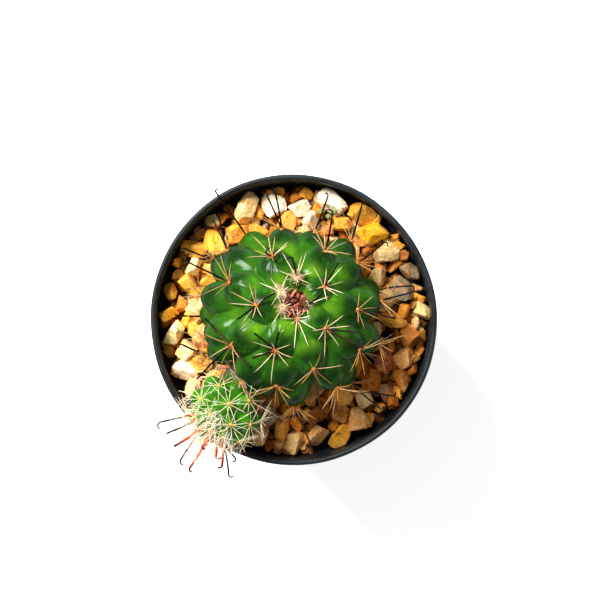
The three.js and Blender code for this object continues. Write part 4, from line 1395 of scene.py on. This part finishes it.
class CACTUS_OT_head(Operator):
    """Build the main head's knobbed skin"""
    bl_idname = "cactus.head"
    bl_label = "Main head"

    def execute(self, context):
        scene = context.scene
        part = skin_part(scene, main_head(scene), *HEAD_GRID, 1)
        make_piece("main_head", part, skin_material("skin", scene.cactus_head), "cactus_skin", "cactus")
        return {"FINISHED"}


class CACTUS_OT_felt(Operator):
    """Build the felt cushions of the main head, with wool round the crown"""
    bl_idname = "cactus.felt"
    bl_label = "Felt cushions"

    def execute(self, context):
        scene = context.scene
        head = main_head(scene)
        random = np.random.default_rng(FELT_SEED)
        place, outward, down, _ = head.cushions()
        age = by_knob(head.number, {0: 0, 4: 0.08, 5: 1})
        age[1] = 0.85  # this knob lost most of its wool early
        width = (1.3 - 0.6 * age) * MM
        points = pad_points(head, np.stack([width, width * 0.85, width * 0.6], -1), *FELT_GRID)
        points += 0.08 * MM * ripple(points, 0.9 * MM, 4)[..., None] * outward[:, None]
        pads = ball_part(points, *FELT_GRID, age=age, along=np.linspace(0, 1, FELT_GRID[0] + 2))

        # Hairs stand in the cushions at random, and leave them outwards, spread and bent.
        hairs_each = np.where(age < 0.5, WOOLLY_HAIRS, OLD_HAIRS)
        owner = np.repeat(head.number, hairs_each)
        spread = random.normal(0, 1, (len(owner), 3))
        along = unit(outward[owner] * 0.8 + spread * 0.8 + 0.6 * down[owner] * (owner < 4)[:, None])
        length = np.where(age[owner] < 0.5, 0.95, 0.8) * MM * random.uniform(0.45, 1.15, len(owner))
        roots = place[owner] + spread * width[owner][:, None] * 0.45
        bend = random.normal(0, 0.9, (len(owner), 3))
        hairs = tubes(bent_paths(roots, along, length, bend, 5), np.cross(along, spread + 0.01),
                      taper(0.055, 0.025, 5) * MM, 3, age=age[owner])
        felt = felt_material("felt", scene.cactus_head.young_felt, scene.cactus_head.old_felt)
        make_piece("felt_cushions", joined(pads, hairs), felt, "felt")
        return {"FINISHED"}


class CACTUS_OT_spines(Operator):
    """Build the main head's spines: a star of straight ones and long dark ones on each cushion"""
    bl_idname = "cactus.spines"
    bl_label = "Main spines"

    def execute(self, context):
        scene = context.scene
        head, colours = main_head(scene), scene.cactus_head
        random = np.random.default_rng(SPINE_SEED)
        rise = by_knob(head.number, {0: 0.7, 1: 0.6, 4: 0.55, 12: 0.55, 20: 0.75, 38: 0.8})
        roots, along, outward, owner, bearing = star_paths(
            head, random, low=7, high=9, rise=rise, droop=0.25, extra=4 * (head.number > 17))
        length = colours.radial_length * by_knob(
            owner, {0: 0.68, 1: 0.76, 2: 0.68, 4: 0.78, 8: 0.95, 20: 1.1, 38: 1.1})
        longer_below = by_knob(owner, {0: 0.38, 3: 0.35, 4: 0.3, 8: 0.14})
        length = length * (1 + longer_below * np.cos(bearing)) * random.uniform(0.68, 1.15, len(owner))
        bend = -0.1 * outward + random.normal(0, 0.05, along.shape)
        paths = bent_paths(roots - 0.2 * MM * outward, along, length, bend, 8)
        kept = free_tips(scene, paths, 1, lowest=63 * MM, overlap=5 * MM)
        tone = by_knob(owner, {0: 0.95, 6: 0.8, 14: 0.55}) + random.uniform(-0.3, 0.3, len(owner))
        age = by_knob(owner, {1: -0.1, 5: 0.15, 8: 0.6, 14: 1.0}) + random.uniform(-0.35, 0.35, len(owner))
        tone, age = np.clip(tone, 0, 1), np.clip(age, 0, 1)
        thinning = by_knob(owner[kept], {8: 1, 20: 0.78})
        radii = np.multiply.outer(thinning, taper(colours.radial_width, 0.05 * MM, 8))
        stars = tubes(paths[kept], np.cross(along, outward)[kept], radii, 5, tone=tone[kept], age=age[kept])
        young = (colours.young_root, colours.young_middle, colours.young_tip)
        old = (colours.spine_root, colours.spine_middle, colours.spine_tip)
        # The glow is painted light coming through the spines.
        horn = spine_material("spine", young, old, middle_at=0.6, tip_from=0.7, glow=0.08)
        make_piece("radial_spines", stars, horn, "spine")

        rows = np.array(CENTRALS, float)
        knobs = rows[:, 0].astype(int)
        hooks = hook_parts(head.cushions()[0][knobs], rows[:, 1:4] * MM, rows[:, 4] * MM, rows[:, 5],
                           colours.central_width, random, age=rows[:, 6])
        dark = (colours.dark_root, colours.dark_spine, colours.dark_spine)
        brown = (colours.brown_root, colours.brown_spine, colours.dark_spine)
        dark_horn = spine_material(
            "dark_spine", dark, brown, middle_at=0.25, tip_from=0.7, roughness=0.35)
        make_piece("dark_spines", hooks, dark_horn, "dark_spine")
        return {"FINISHED"}


class CACTUS_OT_crown(Operator):
    """Build the papery remains in the crown of the main head"""
    bl_idname = "cactus.crown"
    bl_label = "Papery remains"

    def execute(self, context):
        scene = context.scene
        head, crown = main_head(scene), scene.cactus_crown
        scales = scales_part(crown, np.random.default_rng(CROWN_SEED))
        dome = dome_part(crown)
        # The dome gets all marks at zero, so it takes the darkest colour: a painted shade under the scales.
        dome["marks"] = {name: np.zeros((len(dome["points"]), 1)) for name in scales["marks"]}
        for part in (scales, dome):
            part["points"] = head.centre + part["points"] @ head.turn.T
        # Both palettes darken towards the scales' roots deep in the patch: partly their own colour, partly
        # painted shade.
        pale = (crown.papery_dark, crown.papery, crown.papery)
        deep = (crown.papery_dark, crown.papery_dark, crown.papery)
        material = spine_material(
            "papery_remains", pale, deep, middle_at=0.5, tip_from=0.7, roughness=0.75)
        make_piece("papery_remains", joined(scales, dome), material, "papery_remains", "crown_tuft")
        return {"FINISHED"}


class CACTUS_OT_offset(Operator):
    """Build the offset: its knobbed skin and the neck that joins it to the main head"""
    bl_idname = "cactus.offset"
    bl_label = "Offset"

    def execute(self, context):
        scene = context.scene
        sizes = scene.cactus_offset
        head = offset_head(scene)
        skin = skin_part(scene, head, *OFFSET_GRID, -1)
        # The neck is a tube from its foot towards the offset's centre, and widens evenly.
        foot, top = np.array(sizes.neck_foot), np.array(sizes.centre)
        t = np.linspace(-0.02, 0.8, 14)[:, None]
        path = (foot + t * (top - foot))[None]
        radii = sizes.neck_foot_radius + (sizes.neck_top_radius - sizes.neck_foot_radius) * t[:, 0]
        neck = tubes(path, UPRIGHT[None], radii, 40, relief=np.full(1, 0.5), slope=np.full(1, 0.3))
        neck["marks"].pop("along")
        neck["points"] += 0.25 * MM * ripple(neck["points"], 4 * MM, 8)[:, None]
        make_piece("offset_head", joined(skin, neck), skin_material("young_skin", sizes), "young_skin", "pup")
        return {"FINISHED"}


class CACTUS_OT_offset_spines(Operator):
    """Build the offset's felt, pale stars, crown brush and coloured hooks"""
    bl_idname = "cactus.offset_spines"
    bl_label = "Offset spines"

    def execute(self, context):
        scene = context.scene
        sizes = scene.cactus_offset
        head = offset_head(scene)
        random = np.random.default_rng(OFFSET_SEED)
        halves = np.broadcast_to(np.array([0.58, 0.52, 0.42]) * MM, (sizes.knobs, 3))
        points = pad_points(head, halves, *OFFSET_FELT_GRID)
        pads = ball_part(points, *OFFSET_FELT_GRID, age=random.uniform(0.9, 1, sizes.knobs))
        make_piece("offset_felt", pads, felt_material("offset_felt", sizes.spine_root, sizes.felt), "felt")

        rise = by_knob(head.number, {0: 1.6, 3: 0.9, 9: 0.32, 28: 0.3})
        roots, along, lifted, owner, _ = star_paths(
            head, random, low=9, high=12, rise=rise, droop=0.1)
        length = sizes.radial_length * random.uniform(0.72, 1.15, len(owner))
        bend = -0.06 * lifted + random.normal(0, 0.06, along.shape)
        paths = bent_paths(roots - 0.1 * MM * lifted, along, length, bend, 7)
        kept = free_tips(scene, paths, -1, lowest=62 * MM, overlap=4 * MM)
        stars = tubes(paths[kept], np.cross(along, lifted)[kept], taper(sizes.radial_width, 0.04 * MM, 7), 4,
                      tone=random.uniform(0.7, 1, kept.sum()), age=np.zeros(kept.sum()))

        # The crown's brush: fine spines from anywhere within 49 degrees of the axis, tipped upwards.
        away = np.arccos(1 - 0.34 * random.uniform(0, 1, sizes.wisps))
        turn = random.uniform(0, 2 * np.pi, sizes.wisps)
        start = np.stack([np.sin(away) * np.cos(turn), np.sin(away) * np.sin(turn), np.cos(away)], -1)
        foot, _ = head.surface(start)
        out = unit(start @ head.turn.T * 0.8 + 0.3 * random.normal(size=start.shape) + 0.6 * head.axis)
        reach = random.uniform(4.5, 10.5, sizes.wisps) * MM
        wisps = tubes(bent_paths(foot, out, reach, random.normal(0, 0.13, out.shape), 7),
                      np.cross(out, start + 0.02), taper(0.065 * MM, 0.03 * MM, 7), 4,
                      tone=random.uniform(0.8, 1, sizes.wisps), age=random.uniform(0, 1, sizes.wisps) ** 0.7)
        pale = (sizes.spine_root, sizes.spine_middle, sizes.spine_tip)
        rosy = (sizes.wisp_root, sizes.wisp_middle, sizes.wisp_tip)
        # The glow is painted light coming through the pale spines.
        pale_horn = spine_material("pale_spine", pale, rosy, middle_at=0.6, tip_from=0.6, glow=0.2)
        make_piece("offset_spines", joined(stars, wisps), pale_horn, "spine")

        rows = np.array(OFFSET_HOOKS, float)
        roots = head.centre + (sizes.shell_radius - 0.4 * MM) * unit(rows[:, :3] * MM - head.centre)
        hooks = hook_parts(roots, rows[:, 3:6] * MM, rows[:, 6] * MM, rows[:, 7],
                           sizes.central_width * (1 - 0.25 * rows[:, 8]), random, age=rows[:, 8])
        bright = (sizes.hook_root, sizes.hook_middle, sizes.hook_tip)
        dark = (sizes.hook_middle, sizes.dark_hook, sizes.dark_hook)
        coloured_horn = spine_material(
            "coloured_hook", bright, dark, middle_at=0.35, tip_from=0.5, roughness=0.35)
        make_piece("coloured_hooks", hooks, coloured_horn, "dark_spine")
        return {"FINISHED"}


class CACTUS_OT_seedlings(Operator):
    """Build the tiny round seedlings among the stones"""
    bl_idname = "cactus.seedlings"
    bl_label = "Seedlings"

    def execute(self, context):
        crown = context.scene.cactus_crown
        material = crumbly_material(
            "seedling", crown.seedling, crown.seedling_top, scale=1300.0, low=0.35, high=0.7,
            strength=0.5, depth=0.2 * MM, Roughness=0.45, Subsurface_Weight=0.1,
            Subsurface_Scale=0.5 * MM)
        for name in SEEDLINGS:
            low, high = (np.array(corner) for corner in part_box(name))
            make_piece(f"{name}_body", seedling_part(low, high), material, "seedling", name)
        return {"FINISHED"}


class CACTUS_OT_remains(Operator):
    """Build the dry fibres between the heads and the bleached tangle beside the offset"""
    bl_idname = "cactus.remains"
    bl_label = "Dry fibres"

    def execute(self, context):
        scene = context.scene
        crown = scene.cactus_crown
        random = np.random.default_rng(REMAINS_SEED)
        spots = np.array([[-16.8, -13.0, 82.0], [-13.5, -19.0, 79.5], [-9.0, -24.5, 73.0],
                          [-21.5, -11.5, 76.0]]) * MM
        amounts = (34, 26, 26, 18)
        # Bent fibres lie every way, strewn about each spot.
        owner = np.repeat(np.arange(len(spots)), amounts)
        roots = spots[owner] + random.normal(0, 1.4, (len(owner), 3)) * MM
        along = unit(random.normal(size=(len(owner), 3)) * [1, 1, 0.5])
        length = random.uniform(2.5, 6.5, len(owner)) * MM
        bend = random.normal(0, 0.6, (len(owner), 3))
        fibres = tubes(bent_paths(roots, along, length, bend, 8), np.cross(along, bend),
                       taper(0.1 * MM, 0.05 * MM, 8), 4, tone=random.uniform(0.4, 1.0, len(owner)),
                       age=random.uniform(0, 0.6, len(owner)))
        # Each curl is an arc about the tangle's centre: centre + wide (cos t first + sin t second).
        first = unit(random.normal(size=(crown.curls, 3)))
        second = unit(np.cross(first, random.normal(size=(crown.curls, 3))))
        turn = np.linspace(0, 1, 12) * random.uniform(1.5, 4.5, (crown.curls, 1))
        wide = crown.tangle_radius * random.uniform(0.55, 1.1, (crown.curls, 1, 1))
        centre = np.array(crown.tangle) + random.normal(0, 0.3 * MM, (crown.curls, 1, 3))
        spoke = np.cos(turn)[..., None] * first[:, None] + np.sin(turn)[..., None] * second[:, None]
        curls = tubes(centre + wide * spoke, np.cross(first, second), np.full(12, 0.1 * MM), 4,
                      tone=random.uniform(0.1, 1, crown.curls), age=np.ones(crown.curls))
        brown = (crown.fibre, crown.fibre, crown.fibre_pale)
        bleached = (crown.fibre_pale, crown.fibre_pale, crown.fibre_pale)
        dry = spine_material(
            "dry_fibre", brown, bleached, middle_at=0.6, tip_from=0.8, roughness=0.8)
        make_piece("dry_fibres", joined(fibres, curls), dry, "papery_remains")
        return {"FINISHED"}


class CACTUS_OT_stage(Operator):
    """Set up the pale floor, the soft light and the camera"""
    bl_idname = "cactus.stage"
    bl_label = "Stage"

    def execute(self, context):
        scene = context.scene
        stage = scene.cactus_stage
        reach, below = 3.0, -0.05 * MM
        mesh = bpy.data.meshes.new("floor")
        mesh.from_pydata([(-reach, -reach, below), (reach, -reach, below), (reach, reach, below),
                          (-reach, reach, below)], [], [(0, 1, 2, 3)])
        material, tree, shader = new_material("floor", Roughness=0.9, Emission_Strength=stage.glow)
        shader.inputs["Emission Color"].default_value = WHITE
        paper = mottled(tree, object_place(tree), 8.0, 0.3, 0.7, stage.floor, (0.88, 0.88, 0.88, 1))
        tree.links.new(paper["Colour"], shader.inputs["Base Color"])
        mesh.materials.append(material)
        floor = bpy.data.objects.new("floor", mesh)
        scene.collection.objects.link(floor)

        world = bpy.data.worlds.new("surround")
        world.use_nodes = True
        tree = world.node_tree
        background = tree.nodes["Background"]
        background.inputs["Color"].default_value = WHITE
        direction = put(tree, "ShaderNodeTexCoord").outputs["Generated"]
        height = put(tree, "ShaderNodeSeparateXYZ", links={0: direction}).outputs["Z"]
        strength = reach_of(tree, height, 0.55, 0.85, stage.surround, stage.overhead)
        tree.links.new(strength, background.inputs["Strength"])
        scene.world = world

        key = bpy.data.lights.new("key_light", "AREA")
        key.shape = "SQUARE"
        key.size = stage.key_size
        key.energy = stage.key_power
        light = bpy.data.objects.new("key_light", key)
        light.location = stage.key_place
        aim = Vector(scene.cactus_head.centre) - light.location
        light.rotation_mode = "QUATERNION"
        light.rotation_quaternion = aim.to_track_quat("-Z", "Y")
        light.visible_camera = False
        scene.collection.objects.link(light)

        lens = bpy.data.cameras.new("overhead_camera")
        lens.lens = stage.lens
        lens.clip_start = 0.01
        camera = bpy.data.objects.new("overhead_camera", lens)
        camera.location = stage.camera
        scene.collection.objects.link(camera)
        scene.camera = camera
        scene.view_settings.view_transform = "Standard"
        return {"FINISHED"}


class CACTUS_PT_panel(Panel):
    """Lists the pieces of the potted cactus"""
    bl_idname = "CACTUS_PT_panel"
    bl_label = "Potted Round Cactus"
    bl_space_type = "VIEW_3D"
    bl_region_type = "UI"
    bl_category = "Cactus"

    def draw(self, context):
        for operator in OPERATORS:
            self.layout.operator(operator.bl_idname)
        for name in SETTINGS:
            group = getattr(context.scene, name)
            box = self.layout.box()
            for field in group.bl_rna.properties.keys():
                if field not in ("rna_type", "name"):
                    box.prop(group, field)


SETTINGS = {
    "cactus_pot": PotSettings,
    "cactus_gravel": GravelSettings,
    "cactus_head": HeadSettings,
    "cactus_offset": OffsetSettings,
    "cactus_crown": CrownSettings,
    "cactus_stage": StageSettings,
}
OPERATORS = (
    CACTUS_OT_stage, CACTUS_OT_pot, CACTUS_OT_mix, CACTUS_OT_gravel, CACTUS_OT_head, CACTUS_OT_felt,
    CACTUS_OT_spines, CACTUS_OT_crown, CACTUS_OT_offset, CACTUS_OT_offset_spines, CACTUS_OT_seedlings,
    CACTUS_OT_remains,
)


def register():
    """Registers the settings, the operators and the panel."""
    for name, group in SETTINGS.items():
        bpy.utils.register_class(group)
        setattr(bpy.types.Scene, name, PointerProperty(type=group))
    for operator in OPERATORS:
        bpy.utils.register_class(operator)
    bpy.utils.register_class(CACTUS_PT_panel)


def unregister():
    """Takes the settings, the operators and the panel away again."""
    bpy.utils.unregister_class(CACTUS_PT_panel)
    for operator in reversed(OPERATORS):
        bpy.utils.unregister_class(operator)
    for name, group in SETTINGS.items():
        delattr(bpy.types.Scene, name)
        bpy.utils.unregister_class(group)


def main():
    """Builds every piece in order."""
    register()
    for operator in OPERATORS:
        family, _, action = operator.bl_idname.partition(".")
        getattr(getattr(bpy.ops, family), action)()


if __name__ == "__main__":
    main()
